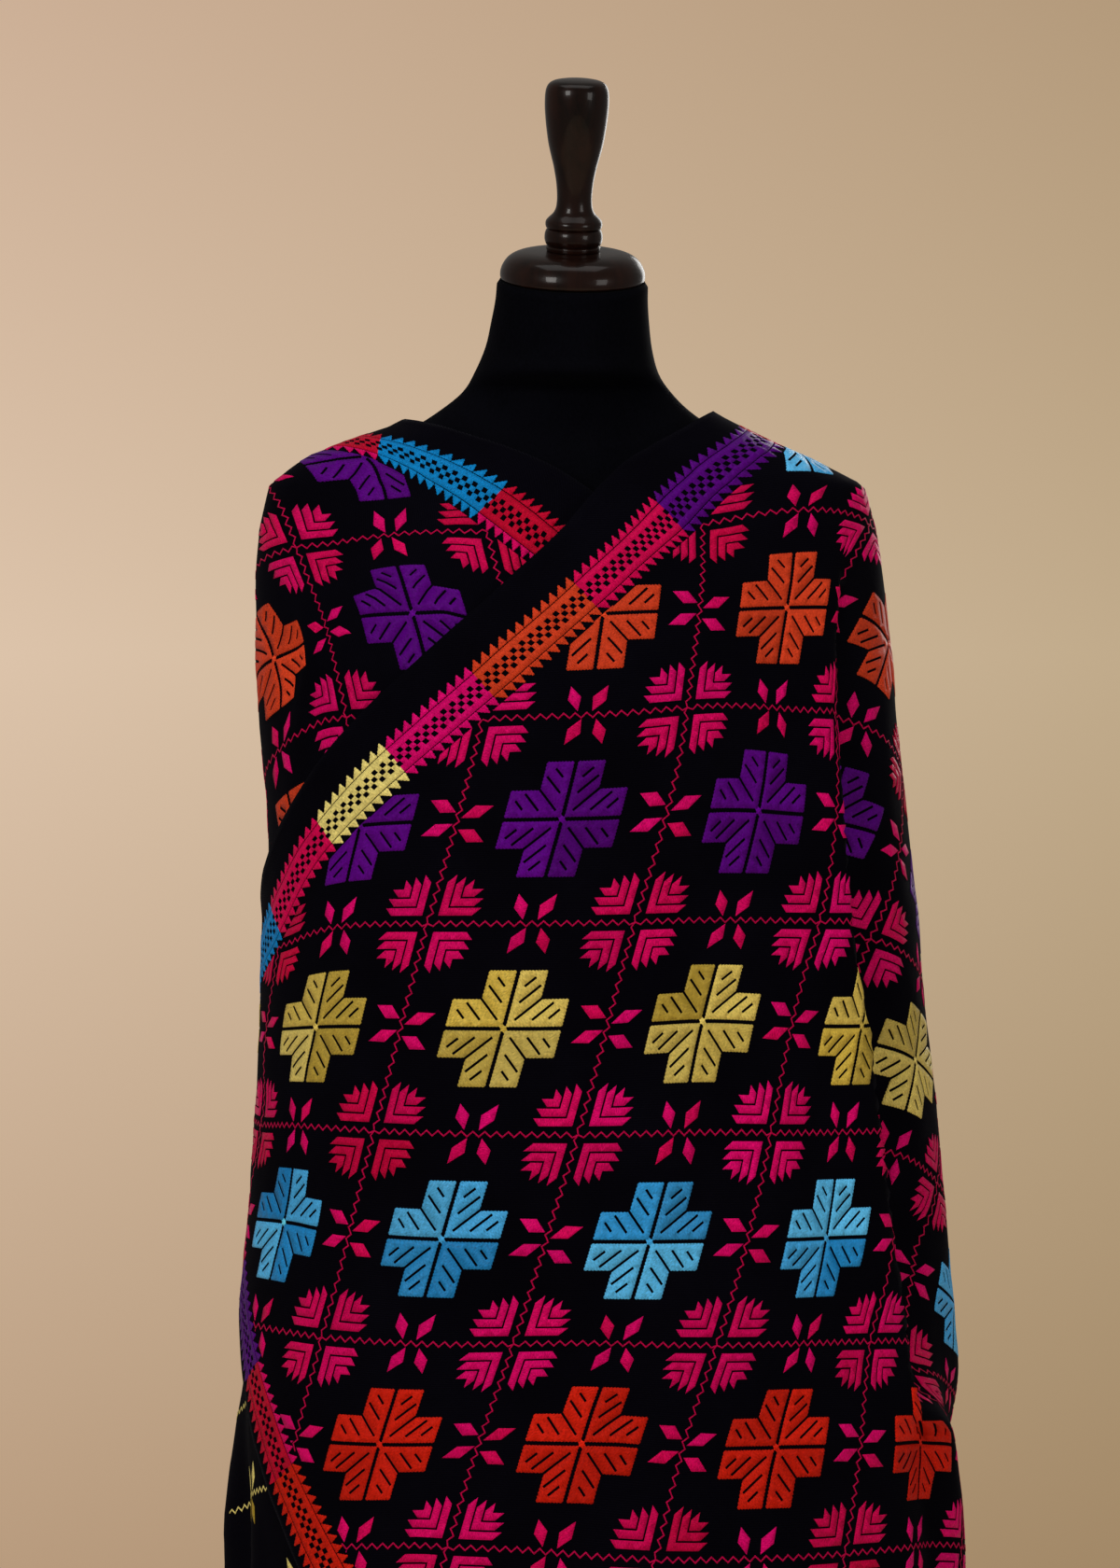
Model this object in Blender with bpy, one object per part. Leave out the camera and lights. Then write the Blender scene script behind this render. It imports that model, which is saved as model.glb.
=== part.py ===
"""A phulkari shawl draped on a limbless dress form.

Metres, +Z up. The origin is the centre of the base's underside, on the floor.
The form faces -Y, and +X is the right-hand side as one faces it.

The shawl is one rectangle of cloth, length along u and width along v. It goes
round the back of the neck with its long edge v = 0 uppermost, comes forward over
both shoulders and crosses in front. From each shoulder tip the cloth fans out,
and everywhere it hangs plumb: a point is found from how far round the body its
fall line hangs (an arc along a horizontal ring) and how far down it is.
The stretch that comes over the +X shoulder lies on top in front.
"""

import math

import bmesh
import bpy
import numpy as np

for old in list(bpy.data.objects):
    bpy.data.objects.remove(old, do_unlink=True)

# ---------------------------------------------------------------- sizes
SHAWL_LENGTH = 2.050
START_U = 0.022  # the right-hand end, from which the pattern's own length is measured
SHAWL_WIDTH = 1.000
CLOTH = 0.0016  # thickness of the wall
GAP = 0.0003  # between neighbouring stretches of cloth
EDGE_U = 0.840  # where the front stretch ends and the back stretch begins
EDGE_U2 = 1.240  # where the back stretch ends and the under stretch begins
PIVOT_R = (0.840, 0.120)  # the point of the cloth on each shoulder's tip
PIVOT_L = (1.240, 0.115)
NECK_R_U, NECK_L_U = 0.815, 1.310  # where the edge v = 0 crosses each shoulder's ridge
SLANT_R = math.radians(37.3)  # how far the length leans, in front, on each side
SLANT_L = math.radians(35.0)
TIP_Z = 1.347  # height of the shoulder tips
TIP_NECK_Z = 1.383  # height of the ridge beside the neck
LAYER = 0.0060  # from one layer of cloth to the next
HANG_Z = 1.031  # a level where the cloth hangs free of the chest
HANG_H = 0.319  # the drop from a shoulder tip to that level

# Rings of the draped cloth: half-widths at +X and -X, the depth of the front, side and back
RING = np.array([
    # z      right   left    front    side     back
    [0.000, 0.281, 0.252, -0.196, -0.004, 0.224],
    [0.200, 0.281, 0.247, -0.193, -0.004, 0.212],
    [0.400, 0.276, 0.238, -0.186, -0.003, 0.184],
    [0.568, 0.270, 0.229, -0.178, -0.002, 0.160],
    [0.670, 0.268, 0.230, -0.172, 0.000, 0.148],
    [0.753, 0.261, 0.228, -0.168, 0.000, 0.138],
    [0.810, 0.259, 0.223, -0.165, 0.000, 0.132],
    [0.896, 0.255, 0.217, -0.163, 0.000, 0.124],
    [0.951, 0.250, 0.214, -0.162, 0.000, 0.119],
    [1.030, 0.243, 0.212, -0.162, 0.000, 0.114],
    [1.109, 0.234, 0.215, -0.163, -0.002, 0.109],
    [1.169, 0.228, 0.220, -0.162, -0.005, 0.106],
    [1.206, 0.225, 0.222, -0.160, -0.009, 0.103],
    [1.256, 0.219, 0.222, -0.151, -0.015, 0.107],
    [1.301, 0.212, 0.219, -0.136, -0.024, 0.094],
    [1.330, 0.203, 0.211, -0.123, -0.032, 0.080],
    [1.347, 0.172, 0.192, -0.114, -0.037, 0.068],
    [1.360, 0.138, 0.160, -0.106, -0.039, 0.056],
    [1.371, 0.113, 0.128, -0.099, -0.040, 0.044],
    [1.383, 0.087, 0.100, -0.092, -0.040, 0.032],
    [1.420, 0.060, 0.064, -0.085, -0.038, 0.020],
])
ROUND = 2.2  # power of the rings' superellipse

# Where the fall lines of the over stretch hang: the arc along the ring, from the front's middle,
# of the lines 300 mm left of the reference line, on it, 110 mm right of it and at the shoulder's fan
HANG_RIGHT = np.array([
    # z      left    middle  right  fan
    [0.000, -0.258, 0.020, 0.124, 0.232],
    [0.568, -0.258, 0.022, 0.126, 0.232],
    [0.670, -0.253, 0.026, 0.129, 0.231],
    [0.753, -0.246, 0.033, 0.134, 0.228],
    [0.820, -0.244, 0.035, 0.136, 0.224],
    [0.896, -0.242, 0.040, 0.137, 0.214],
    [0.960, -0.241, 0.042, 0.137, 0.210],
    [1.030, -0.240, 0.042, 0.138, 0.203],
    [1.100, -0.238, 0.045, 0.141, 0.196],
    [1.170, -0.238, 0.044, 0.134, 0.200],
    [1.245, -0.240, 0.035, 0.132, 0.203],
    [1.301, -0.250, 0.029, 0.121, 0.206],
    [1.330, -0.270, 0.006, 0.114, 0.208],
    [1.347, -0.300, -0.014, 0.102, 0.203],
    [1.383, -0.340, -0.022, 0.099, 0.205],
    [1.420, -0.340, -0.024, 0.097, 0.205],
])
HANG_S = (-0.300, 0.0, 0.110, 0.2125)
# The same for the under stretch, with one straight rate: metres of ring to a metre of cloth
HANG_LEFT = np.array([
    # z      start    per_metre
    [0.000, -0.222, 0.935],
    [1.200, -0.218, 0.940],
    [1.300, -0.220, 0.950],
    [1.330, -0.212, 0.980],
    [1.347, -0.204, 1.020],
    [1.383, -0.250, 1.040],
    [1.420, -0.250, 1.040],
])
# Round the sides and back: metres of ring to a metre of cloth, to the right and left of the middle
BACK_RATE = np.array([
    # z      right   left
    [0.000, 0.960, 0.960],
    [0.810, 0.980, 0.960],
    [0.950, 1.000, 1.000],
    [1.030, 1.030, 1.040],
    [1.100, 1.060, 1.040],
    [1.170, 1.160, 1.080],
    [1.300, 1.180, 1.100],
])
EDGE_SAG = 0.016  # how far the crossing edge hangs below the plumb cloth

# Main folds that fall from the shoulder tips: the side, how far round its fan (0 front, 1 back),
# the width as a share of the fan, the height of the crest and the drop where it starts
FAN_FOLDS = [
    # side  place  width  crest   start
    ("R", 0.08, 0.095, 0.009, 0.20),
    ("R", 0.36, 0.125, 0.015, 0.30),
    ("R", 0.68, 0.130, 0.020, 0.34),
    ("R", 0.96, 0.100, 0.014, 0.26),
    ("L", 0.12, 0.080, 0.022, 0.24),
    ("L", 0.38, 0.105, 0.028, 0.30),
    ("L", 0.66, 0.100, 0.024, 0.34),
    ("L", 0.92, 0.085, 0.016, 0.24),
]
# Soft folds that hang down the front and back: the place along the ring, width, crest and top
HANG_FOLDS = [
    # place  width  crest   top
    (-0.085, 0.045, 0.004, 1.12),
    (0.030, 0.050, 0.003, 1.05),
    (0.150, 0.040, 0.005, 1.02),
    (0.470, 0.030, 0.009, 1.20),
    (0.560, 0.034, 0.007, 1.12),
    (0.655, 0.030, 0.009, 1.16),
]


def smooth(x, a, b):
    t = np.clip((np.asarray(x, float) - a) / (b - a), 0.0, 1.0)
    return t * t * (3.0 - 2.0 * t)


def column(table, z, i):
    return np.interp(z, table[:, 0], table[:, i])


# ---------------------------------------------------------------- rings
LEVELS = np.linspace(0.0, 1.42, 143)
ANGLES = np.radians(np.linspace(-90.0, 270.0, 721))


def ring_points(z):
    """Points of the ring at height z, from the front's middle round by +X."""
    right, left, front, side, back = (float(column(RING, z, i)) for i in range(1, 6))
    c, s = np.cos(ANGLES), np.sin(ANGLES)
    power = 2.0 / ROUND
    wide = np.where(c >= 0.0, right, left)
    deep = np.where(s >= 0.0, back - side, side - front)
    return wide * np.sign(c) * np.abs(c) ** power, side + deep * np.sign(s) * np.abs(s) ** power


class Rings:
    """Every level's ring, measured along its arc."""

    def __init__(self):
        self.arc, self.x, self.y = [], [], []
        for z in LEVELS:
            x, y = ring_points(z)
            arc = np.r_[0.0, np.cumsum(np.hypot(np.diff(x), np.diff(y)))]
            self.arc.append(arc)
            self.x.append(x)
            self.y.append(y)
        self.arc = np.array(self.arc)
        self.total = self.arc[:, -1]
        self.right = self.arc[:, 180]  # front's middle to the +X side
        self.half = self.arc[:, 360]  # to the back's middle
        self.left = self.arc[:, 540]  # to the -X side

    def at(self, name, z):
        return np.interp(z, LEVELS, getattr(self, name))

    def place(self, arc, z):
        """The point at an arc from the front's middle, at height z."""
        arc, z = np.broadcast_arrays(np.asarray(arc, float), np.asarray(z, float))
        k = np.clip((z - LEVELS[0]) / (LEVELS[1] - LEVELS[0]), 0, len(LEVELS) - 1.001)
        k0 = k.astype(int)
        t = k - k0
        share = arc / self.at("total", z)
        out = []
        for j in (0, 1):
            x, y = np.empty(arc.shape), np.empty(arc.shape)
            for level in np.unique(k0 + j):
                m = (k0 + j) == level
                a = np.mod(share[m] * self.total[level], self.total[level])
                x[m] = np.interp(a, self.arc[level], self.x[level])
                y[m] = np.interp(a, self.arc[level], self.y[level])
            out.append((x, y))
        return (
            out[0][0] * (1 - t) + out[1][0] * t,
            out[0][1] * (1 - t) + out[1][1] * t,
        )


RINGS = Rings()


def drop_table():
    """Height against length of cloth, down a fall line on the chest."""
    z = np.linspace(1.42, 0.0, 285)
    arc = 0.10 + 0.0 * z
    x, y = RINGS.place(arc, z)
    length = np.r_[0.0, np.cumsum(np.sqrt(np.diff(x) ** 2 + np.diff(y) ** 2 + np.diff(z) ** 2))]
    return z, length - np.interp(-HANG_Z, -z, length)


def across_right(s, z):
    """Arc along the ring of the over stretch's fall line s, at height z."""
    s, z = np.broadcast_arrays(np.asarray(s, float), np.asarray(z, float))
    at = [column(HANG_RIGHT, z, i) for i in range(1, 5)]
    k = HANG_S
    out = at[1] + (at[2] - at[1]) * (s / k[2])
    out = np.where(s < 0.0, at[1] + (at[0] - at[1]) * (s / k[0]), out)
    far = at[2] + (at[3] - at[2]) * (s - k[2]) / (k[3] - k[2])
    return np.where(s > k[2], far, out)


def across_left(s, z):
    return RINGS.at("total", z) + column(HANG_LEFT, z, 1) + column(HANG_LEFT, z, 2) * s


DROP_Z, DROP_H = drop_table()


def height(drop):
    """Height of cloth this far below the hang level along its fall line."""
    return np.interp(drop, DROP_H, DROP_Z)


# ---------------------------------------------------------------- the drape
def right_front(u, v):
    """How far across and down a point of the over stretch lies."""
    du, dv = u - PIVOT_R[0], v - PIVOT_R[1]
    c, s = math.cos(SLANT_R), math.sin(SLANT_R)
    return 0.2125 + du * c + dv * s, -HANG_H - du * s + dv * c


def left_front(u, v):
    du, dv = u - PIVOT_L[0], v - PIVOT_L[1]
    c, s = math.cos(SLANT_L), math.sin(SLANT_L)
    return du * c - dv * s, -HANG_H + du * s + dv * c


def back_sheet(u, v):
    """Arc and height of the back's cloth, which dips behind the neck."""
    neck = np.clip(v / 0.12, 0.0, 1.0)
    middle = 1.0625 - 0.0225 * neck + 0.070 * smooth(v, 0.10, 0.45)
    reach = 0.2475 - 0.0475 * neck
    off = np.clip((u - middle) / reach, -1.2, 1.2)
    ridge = np.where(v < 0.12, TIP_NECK_Z - 0.30 * v, TIP_Z - (v - 0.12) * 1.0)
    centre = 1.290 - 0.925 * v
    share = smooth(np.abs(off), 0.0, 1.05)
    z = ridge * share + centre * (1.0 - share)
    quarter = np.where(off < 0, RINGS.at("half", z) - RINGS.at("right", z), RINGS.at("left", z) - RINGS.at("half", z))
    free = smooth(v, 0.10, 0.42)
    rate = np.where(off < 0, column(BACK_RATE, z, 1), column(BACK_RATE, z, 2))
    per = (quarter / reach) * (1.0 - free) + rate * free
    return RINGS.at("half", z) + (u - middle) * per, z


def drape_raw(u, v):
    """Arc (unwrapped), height, drop and fan share for every point of the cloth."""
    s1, h1 = right_front(u, v)
    s2, h2 = left_front(u, v)
    # over stretch
    sag = EDGE_SAG * np.exp(-np.maximum(v, 0.0) / 0.09) * (1.0 - smooth(s1, 0.06, 0.15))
    z1 = height(h1) - sag - 0.016 * smooth(-s1, 0.20, 0.32) * smooth(-h1, -0.16, 0.06)
    a1 = across_right(s1, z1)
    # under stretch
    z2 = height(h2)
    a2 = across_left(s2, z2)
    ab, zb = back_sheet(u, v)
    # fans
    du, dv = u - PIVOT_R[0], v - PIVOT_R[1]
    rho = np.hypot(du, dv)
    turn = np.arctan2(-du, dv)
    f1 = np.clip((SLANT_R - turn) / SLANT_R, 0.0, 1.0)
    zf = height(rho - HANG_H)
    start = across_right(0.2125, zf)
    end, zend = back_sheet(np.full_like(u, PIVOT_R[0]), PIVOT_R[1] + rho)
    af = start + (end - start) * f1 ** (2.0 - 0.9 * smooth(rho, 0.34, 0.54))
    zf = zf * (1 - f1) + zend * f1
    du, dv = u - PIVOT_L[0], v - PIVOT_L[1]
    rho2 = np.hypot(du, dv)
    turn2 = np.arctan2(du, dv)
    f2 = np.clip((SLANT_L - turn2) / SLANT_L, 0.0, 1.0)
    zg = height(rho2 - HANG_H)
    start = across_left(0.0, zg)
    end, zend = back_sheet(np.full_like(u, PIVOT_L[0]), PIVOT_L[1] + rho2)
    ag = start + (end - start) * f2
    zg = zg * (1 - f2) + zend * f2
    # choose
    ridge_r = NECK_R_U + (PIVOT_R[0] - NECK_R_U) * np.clip(v / PIVOT_R[1], 0, 1)
    ridge_l = NECK_L_U + (PIVOT_L[0] - NECK_L_U) * np.clip(v / PIVOT_L[1], 0, 1)
    in_r = (v > PIVOT_R[1]) & (u < PIVOT_R[0]) & (turn < SLANT_R)
    in_l = (v > PIVOT_L[1]) & (u > PIVOT_L[0]) & (turn2 < SLANT_L)
    arc, z = ab.copy(), zb.copy()
    front_r = (u < ridge_r) & ~in_r
    front_l = (u > ridge_l) & ~in_l
    for mask, (a, b) in ((front_r, (a1, z1)), (in_r, (af, zf)), (front_l, (a2, z2)), (in_l, (ag, zg))):
        arc = np.where(mask, a, arc)
        z = np.where(mask, b, z)
    fan = np.where(in_r, f1, np.where(in_l, f2, -1.0))
    return arc, z


STEP = 0.0125
GRID_U = np.arange(-4, int(SHAWL_LENGTH / STEP) + 6) * STEP
GRID_V = np.arange(-4, int(SHAWL_WIDTH / STEP) + 6) * STEP


def blurred(field, times):
    for _ in range(times):
        for axis in (0, 1):
            pad = [(0, 0), (0, 0)]
            pad[axis] = (1, 1)
            f = np.pad(field, pad, mode="reflect", reflect_type="odd")
            a = np.take(f, range(0, f.shape[axis] - 2), axis)
            b = np.take(f, range(1, f.shape[axis] - 1), axis)
            c = np.take(f, range(2, f.shape[axis]), axis)
            field = 0.25 * a + 0.5 * b + 0.25 * c
    return field


def drape_grid():
    uu, vv = np.meshgrid(GRID_U, GRID_V, indexing="ij")
    arc, z = drape_raw(uu, vv)
    share = arc / RINGS.at("total", z)
    return blurred(share, 8), blurred(z, 8)


SHARE, HEIGHT = drape_grid()


def lookup(field, u, v):
    i = np.clip((u - GRID_U[0]) / STEP, 0, len(GRID_U) - 1.001)
    j = np.clip((v - GRID_V[0]) / STEP, 0, len(GRID_V) - 1.001)
    i0, j0 = i.astype(int), j.astype(int)
    s, t = i - i0, j - j0
    return (
        field[i0, j0] * (1 - s) * (1 - t)
        + field[i0 + 1, j0] * s * (1 - t)
        + field[i0, j0 + 1] * (1 - s) * t
        + field[i0 + 1, j0 + 1] * s * t
    )


def base_point(u, v):
    share, z = lookup(SHARE, u, v), lookup(HEIGHT, u, v)
    x, y = RINGS.place(share * RINGS.at("total", z), z)
    return np.stack([x, y, z], -1)


def bump(x, place, width):
    return np.exp(-(((x - place) / width) ** 2))


def relief(u, v):
    """How far each point stands out of its ring: layers, then folds."""
    share, z = lookup(SHARE, u, v), lookup(HEIGHT, u, v)
    arc = share * RINGS.at("total", z)
    total = RINGS.at("total", z)
    over = (1.0 - smooth(arc, 0.02, 0.20)) * (u < 1.0)
    tuck = smooth(arc - total, -0.04, 0.20) * (u > 1.0)
    out = LAYER * over - 0.028 * tuck
    for side, place, width, crest, start in FAN_FOLDS:
        px, py = PIVOT_R if side == "R" else PIVOT_L
        du = (px - u) if side == "R" else (u - px)
        slant = SLANT_R if side == "R" else SLANT_L
        rho = np.hypot(du, v - py)
        f = (slant - np.arctan2(du, np.maximum(v - py, 1e-6))) / slant
        grow = smooth(rho, start, start + 0.45) * (v > py)
        calm = 1.0
        if side == "L":
            end = np.interp(arc - total, (-0.45, -0.30, -0.24, -0.10), (0.90, 0.73, 0.62, 0.53))
            calm = 1.0 - smooth(z, end - 0.17, end - 0.02) * (1.0 - smooth(z, 1.10, 1.20))
        out = out + crest * grow * calm * (1.25 * bump(f, place, width) - 0.55 * bump(f, place, 2.0 * width))
    wrapped = arc - np.where(share > 0.75, RINGS.at("total", z), 0.0)
    for place, width, crest, top in HANG_FOLDS:
        out = out + crest * bump(wrapped, place, width) * (1.0 - smooth(z, top - 0.25, top))
    return out


def cloth_point(u, v, lift=0.0):
    """The middle of the cloth at u, v, moved out by lift."""
    u, v = np.asarray(u, float), np.asarray(v, float)
    e = 0.002
    p = base_point(u, v)
    tu = base_point(u + e, v) - base_point(u - e, v)
    tv = base_point(u, v + e) - base_point(u, v - e)
    n = np.cross(tv, tu)
    n /= np.maximum(np.linalg.norm(n, axis=-1, keepdims=True), 1e-12)
    return p + n * (relief(u, v) + lift)[..., None]


def folded_normal(u, v):
    e = 0.004
    tu = cloth_point(u + e, v) - cloth_point(u - e, v)
    tv = cloth_point(u, v + e) - cloth_point(u, v - e)
    n = np.cross(tv, tu)
    return n / np.maximum(np.linalg.norm(n, axis=-1, keepdims=True), 1e-12)


# ---------------------------------------------------------------- build
# The form: half-widths at +X and -X, then the depth of the front, side and back
FORM = [
    # z      right   left    front    side     back
    (0.700, 0.150, 0.150, -0.104, 0.000, 0.092),
    (0.704, 0.158, 0.158, -0.110, 0.000, 0.098),
    (0.740, 0.165, 0.165, -0.115, 0.000, 0.103),
    (0.790, 0.167, 0.167, -0.117, 0.000, 0.105),
    (0.840, 0.162, 0.162, -0.114, 0.000, 0.104),
    (0.900, 0.145, 0.145, -0.104, 0.000, 0.092),
    (0.960, 0.127, 0.127, -0.096, 0.000, 0.076),
    (1.020, 0.120, 0.120, -0.098, 0.000, 0.068),
    (1.080, 0.129, 0.129, -0.118, -0.002, 0.078),
    (1.140, 0.143, 0.143, -0.139, -0.006, 0.090),
    (1.190, 0.154, 0.154, -0.143, -0.010, 0.094),
    (1.240, 0.165, 0.166, -0.134, -0.016, 0.090),
    (1.280, 0.173, 0.176, -0.123, -0.022, 0.080),
    (1.310, 0.177, 0.182, -0.113, -0.028, 0.068),
    (1.330, 0.172, 0.180, -0.105, -0.033, 0.056),
    (1.344, 0.155, 0.170, -0.099, -0.036, 0.046),
    (1.357, 0.126, 0.144, -0.094, -0.038, 0.037),
    (1.370, 0.100, 0.113, -0.089, -0.040, 0.026),
    (1.383, 0.081, 0.092, -0.084, -0.041, 0.014),
    (1.395, 0.0690, 0.0770, -0.084, -0.0425, 0.008),
]
# The neck above the shoulders: radius, how far off the middle and forward, and how far it leans
NECK = [
    # z      radius  off      forward  lean
    (1.409, 0.0640, -0.0040, -0.0445, 4.0),
    (1.426, 0.0580, -0.0025, -0.0470, 8.0),
    (1.443, 0.0550, -0.0015, -0.0500, 12.0),
    (1.458, 0.0530, -0.0005, -0.0535, 15.0),
    (1.4685, 0.0525, 0.0000, -0.0560, 15.5),
    (1.4715, 0.0505, 0.0000, -0.0568, 15.5),
]
LEAN = 15.5  # of the cap and the finial, forward, in degrees
CANT = 1.4  # and to the +X side
CAP_SEAT = (0.0, -0.0570, 1.4722)  # the middle of the cap's underside
CAP = [  # radius, height above the seat
    (0.0000, 0.0000), (0.0485, 0.0000), (0.0500, 0.0012), (0.0503, 0.0040), (0.0498, 0.0072),
    (0.0484, 0.0105), (0.0455, 0.0145), (0.0408, 0.0176), (0.0340, 0.0195), (0.0260, 0.0203), (0.0000, 0.0205),
]
FINIAL = [
    (0.0000, 0.0208), (0.0184, 0.0208), (0.0187, 0.0220), (0.0187, 0.0238), (0.0180, 0.0243),
    (0.0190, 0.0253), (0.0200, 0.0283), (0.0201, 0.0305), (0.0197, 0.0335), (0.0187, 0.0355), (0.0180, 0.0361),
    (0.0190, 0.0366), (0.0196, 0.0380), (0.0196, 0.0405), (0.0190, 0.0418), (0.0174, 0.0436),
    (0.0145, 0.0465), (0.0128, 0.0500), (0.0122, 0.0540), (0.0121, 0.0576), (0.0124, 0.0630), (0.0131, 0.0690),
    (0.0141, 0.0745), (0.0152, 0.0798), (0.0166, 0.0850), (0.0180, 0.0905), (0.0192, 0.0960), (0.0201, 0.1018),
    (0.0209, 0.1075), (0.0215, 0.1130), (0.0220, 0.1190), (0.0221, 0.1240), (0.0219, 0.1290), (0.0212, 0.1325),
    (0.0196, 0.1354), (0.0165, 0.1374), (0.0110, 0.1386), (0.0000, 0.1392),
]
POLE_R, POLE_TOP = 0.0160, 0.6990
COLLAR_R, COLLAR_Z, COLLAR_TOP = 0.0270, 0.0263, 0.0600
BASE_R, BASE_T = 0.1900, 0.0260


def material(name, colour, rough, metal=0.0):
    m = bpy.data.materials.new(name)
    m.use_nodes = True
    p = m.node_tree.nodes["Principled BSDF"]
    p.inputs["Base Color"].default_value = (*colour, 1.0)
    p.inputs["Roughness"].default_value = rough
    p.inputs["Metallic"].default_value = metal
    return m


WOOL = material("black_wool", (0.016, 0.013, 0.022), 0.9)
JERSEY = material("black_jersey", (0.010, 0.010, 0.012), 0.85)
WOOD = material("dark_wood", (0.030, 0.012, 0.008), 0.22)
METAL = material("dark_metal", (0.030, 0.030, 0.032), 0.4, 0.8)


def add(name, bm, mat, smooth_shade=True):
    bmesh.ops.recalc_face_normals(bm, faces=bm.faces)
    mesh = bpy.data.meshes.new(name)
    bm.to_mesh(mesh)
    bm.free()
    if smooth_shade:
        mesh.shade_smooth()
        mesh.set_sharp_from_angle(angle=math.radians(40.0))
    obj = bpy.data.objects.new(name, mesh)
    mesh.materials.append(mat)
    bpy.context.scene.collection.objects.link(obj)
    return obj


def loft(rings):
    """A closed body through rings of equal counts, capped at both ends."""
    bm = bmesh.new()
    rows = [[bm.verts.new(p) for p in ring] for ring in rings]
    for low, high in zip(rows, rows[1:]):
        for i in range(len(low)):
            j = (i + 1) % len(low)
            bm.faces.new((low[i], low[j], high[j], high[i]))
    bm.faces.new(rows[0][::-1])
    bm.faces.new(rows[-1])
    return bm


def turned(profile, sides, seat=(0.0, 0.0, 0.0), lean=0.0, cant=0.0):
    """A body of revolution from (radius, height) rows, leaning forward and to +X."""
    a, b = math.radians(lean), math.radians(cant)
    bm = bmesh.new()
    rows = []
    for r, h in profile:
        ring = []
        for k in range(1 if r == 0.0 else sides):
            t = 2.0 * math.pi * k / sides
            x, y, z = r * math.cos(t), r * math.sin(t), h
            x, z = x * math.cos(b) + z * math.sin(b), -x * math.sin(b) + z * math.cos(b)
            y, z = y * math.cos(a) - z * math.sin(a), y * math.sin(a) + z * math.cos(a)
            ring.append(bm.verts.new((seat[0] + x, seat[1] + y, seat[2] + z)))
        rows.append(ring)
    for low, high in zip(rows, rows[1:]):
        if len(low) == 1:
            for i in range(sides):
                bm.faces.new((low[0], high[(i + 1) % sides], high[i]))
        elif len(high) == 1:
            for i in range(sides):
                bm.faces.new((low[i], low[(i + 1) % sides], high[0]))
        else:
            for i in range(sides):
                j = (i + 1) % sides
                bm.faces.new((low[i], low[j], high[j], high[i]))
    return bm


def form_rings(sides=40):
    rings = []
    for z, right, left, front, side, back in FORM:
        ring = []
        for k in range(sides):
            t = 2.0 * math.pi * k / sides
            c, s = math.cos(t), math.sin(t)
            power = 2.0 / 2.15
            wide = right if c >= 0 else left
            deep = back - side if s >= 0 else side - front
            ring.append((
                wide * math.copysign(abs(c) ** power, c),
                side + deep * math.copysign(abs(s) ** power, s),
                z,
            ))
        rings.append(ring)
    for z, radius, off, forward, lean in NECK:
        a, b = math.radians(lean), math.radians(CANT * lean / LEAN)
        ring = []
        for k in range(sides):
            t = 2.0 * math.pi * k / sides
            x, y, h = radius * math.cos(t), radius * math.sin(t), 0.0
            x, h = x * math.cos(b), -x * math.sin(b)
            y, h = y * math.cos(a) - h * math.sin(a), y * math.sin(a) + h * math.cos(a)
            ring.append((off + x, forward + y, z + h))
        rings.append(ring)
    return rings


def wall(name, us, vs):
    """One stretch of the shawl as a closed wall of cloth."""
    uu, vv = np.meshgrid(us, vs, indexing="ij")
    mid, n = cloth_point(uu, vv), folded_normal(uu, vv)
    out, inside = mid + n * CLOTH / 2, mid - n * CLOTH / 2
    bm = bmesh.new()
    a = [[bm.verts.new(out[i, j]) for j in range(len(vs))] for i in range(len(us))]
    b = [[bm.verts.new(inside[i, j]) for j in range(len(vs))] for i in range(len(us))]
    nu, nv = len(us), len(vs)
    for i in range(nu - 1):
        for j in range(nv - 1):
            bm.faces.new((a[i][j], a[i][j + 1], a[i + 1][j + 1], a[i + 1][j]))
            bm.faces.new((b[i][j], b[i + 1][j], b[i + 1][j + 1], b[i][j + 1]))
    for i in range(nu - 1):
        bm.faces.new((a[i][0], a[i + 1][0], b[i + 1][0], b[i][0]))
        bm.faces.new((a[i + 1][nv - 1], a[i][nv - 1], b[i][nv - 1], b[i + 1][nv - 1]))
    for j in range(nv - 1):
        bm.faces.new((a[0][j + 1], a[0][j], b[0][j], b[0][j + 1]))
        bm.faces.new((a[nu - 1][j], a[nu - 1][j + 1], b[nu - 1][j + 1], b[nu - 1][j]))
    return add(name, bm, WOOL)


def spaced(*runs):
    """Values from run to run: (end, steps) after a start."""
    values = [runs[0]]
    for end, steps in runs[1:]:
        values += list(np.linspace(values[-1], end, steps + 1)[1:])
    return np.array(values)


DOWN = spaced(0.0, (0.30, 9), (1.0 * SHAWL_WIDTH, 16))
wall("shawl_over", spaced(START_U, (0.64, 24), (EDGE_U - GAP, 8)), DOWN)
wall("shawl_back", spaced(EDGE_U, (EDGE_U2, 14)), DOWN)
wall("shawl_under", spaced(EDGE_U2 + GAP, (1.42, 7), (START_U + SHAWL_LENGTH, 23)), DOWN)

add("form_torso", loft(form_rings()), JERSEY)
add("form_neck_cap", turned(CAP, 40, CAP_SEAT, LEAN, CANT), WOOD)
add("form_finial", turned(FINIAL, 32, CAP_SEAT, LEAN, CANT), WOOD)
add("form_pole", turned([(0.0, 0.0605), (POLE_R, 0.0605), (POLE_R, POLE_TOP), (0.0, POLE_TOP)], 24), METAL)
add("form_collar", turned([
    (0.0, COLLAR_Z), (COLLAR_R, COLLAR_Z), (COLLAR_R, 0.0330), (0.0225, 0.0370), (0.0205, 0.0560),
    (0.0190, COLLAR_TOP), (0.0, COLLAR_TOP),
], 24), WOOD)
add("form_base", turned([
    (0.0, 0.0), (BASE_R - 0.002, 0.0), (BASE_R, 0.002), (BASE_R, 0.0140), (BASE_R - 0.0030, 0.0190),
    (BASE_R - 0.0100, 0.0215), (0.0600, BASE_T), (0.0, BASE_T),
], 56), WOOD)
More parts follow.
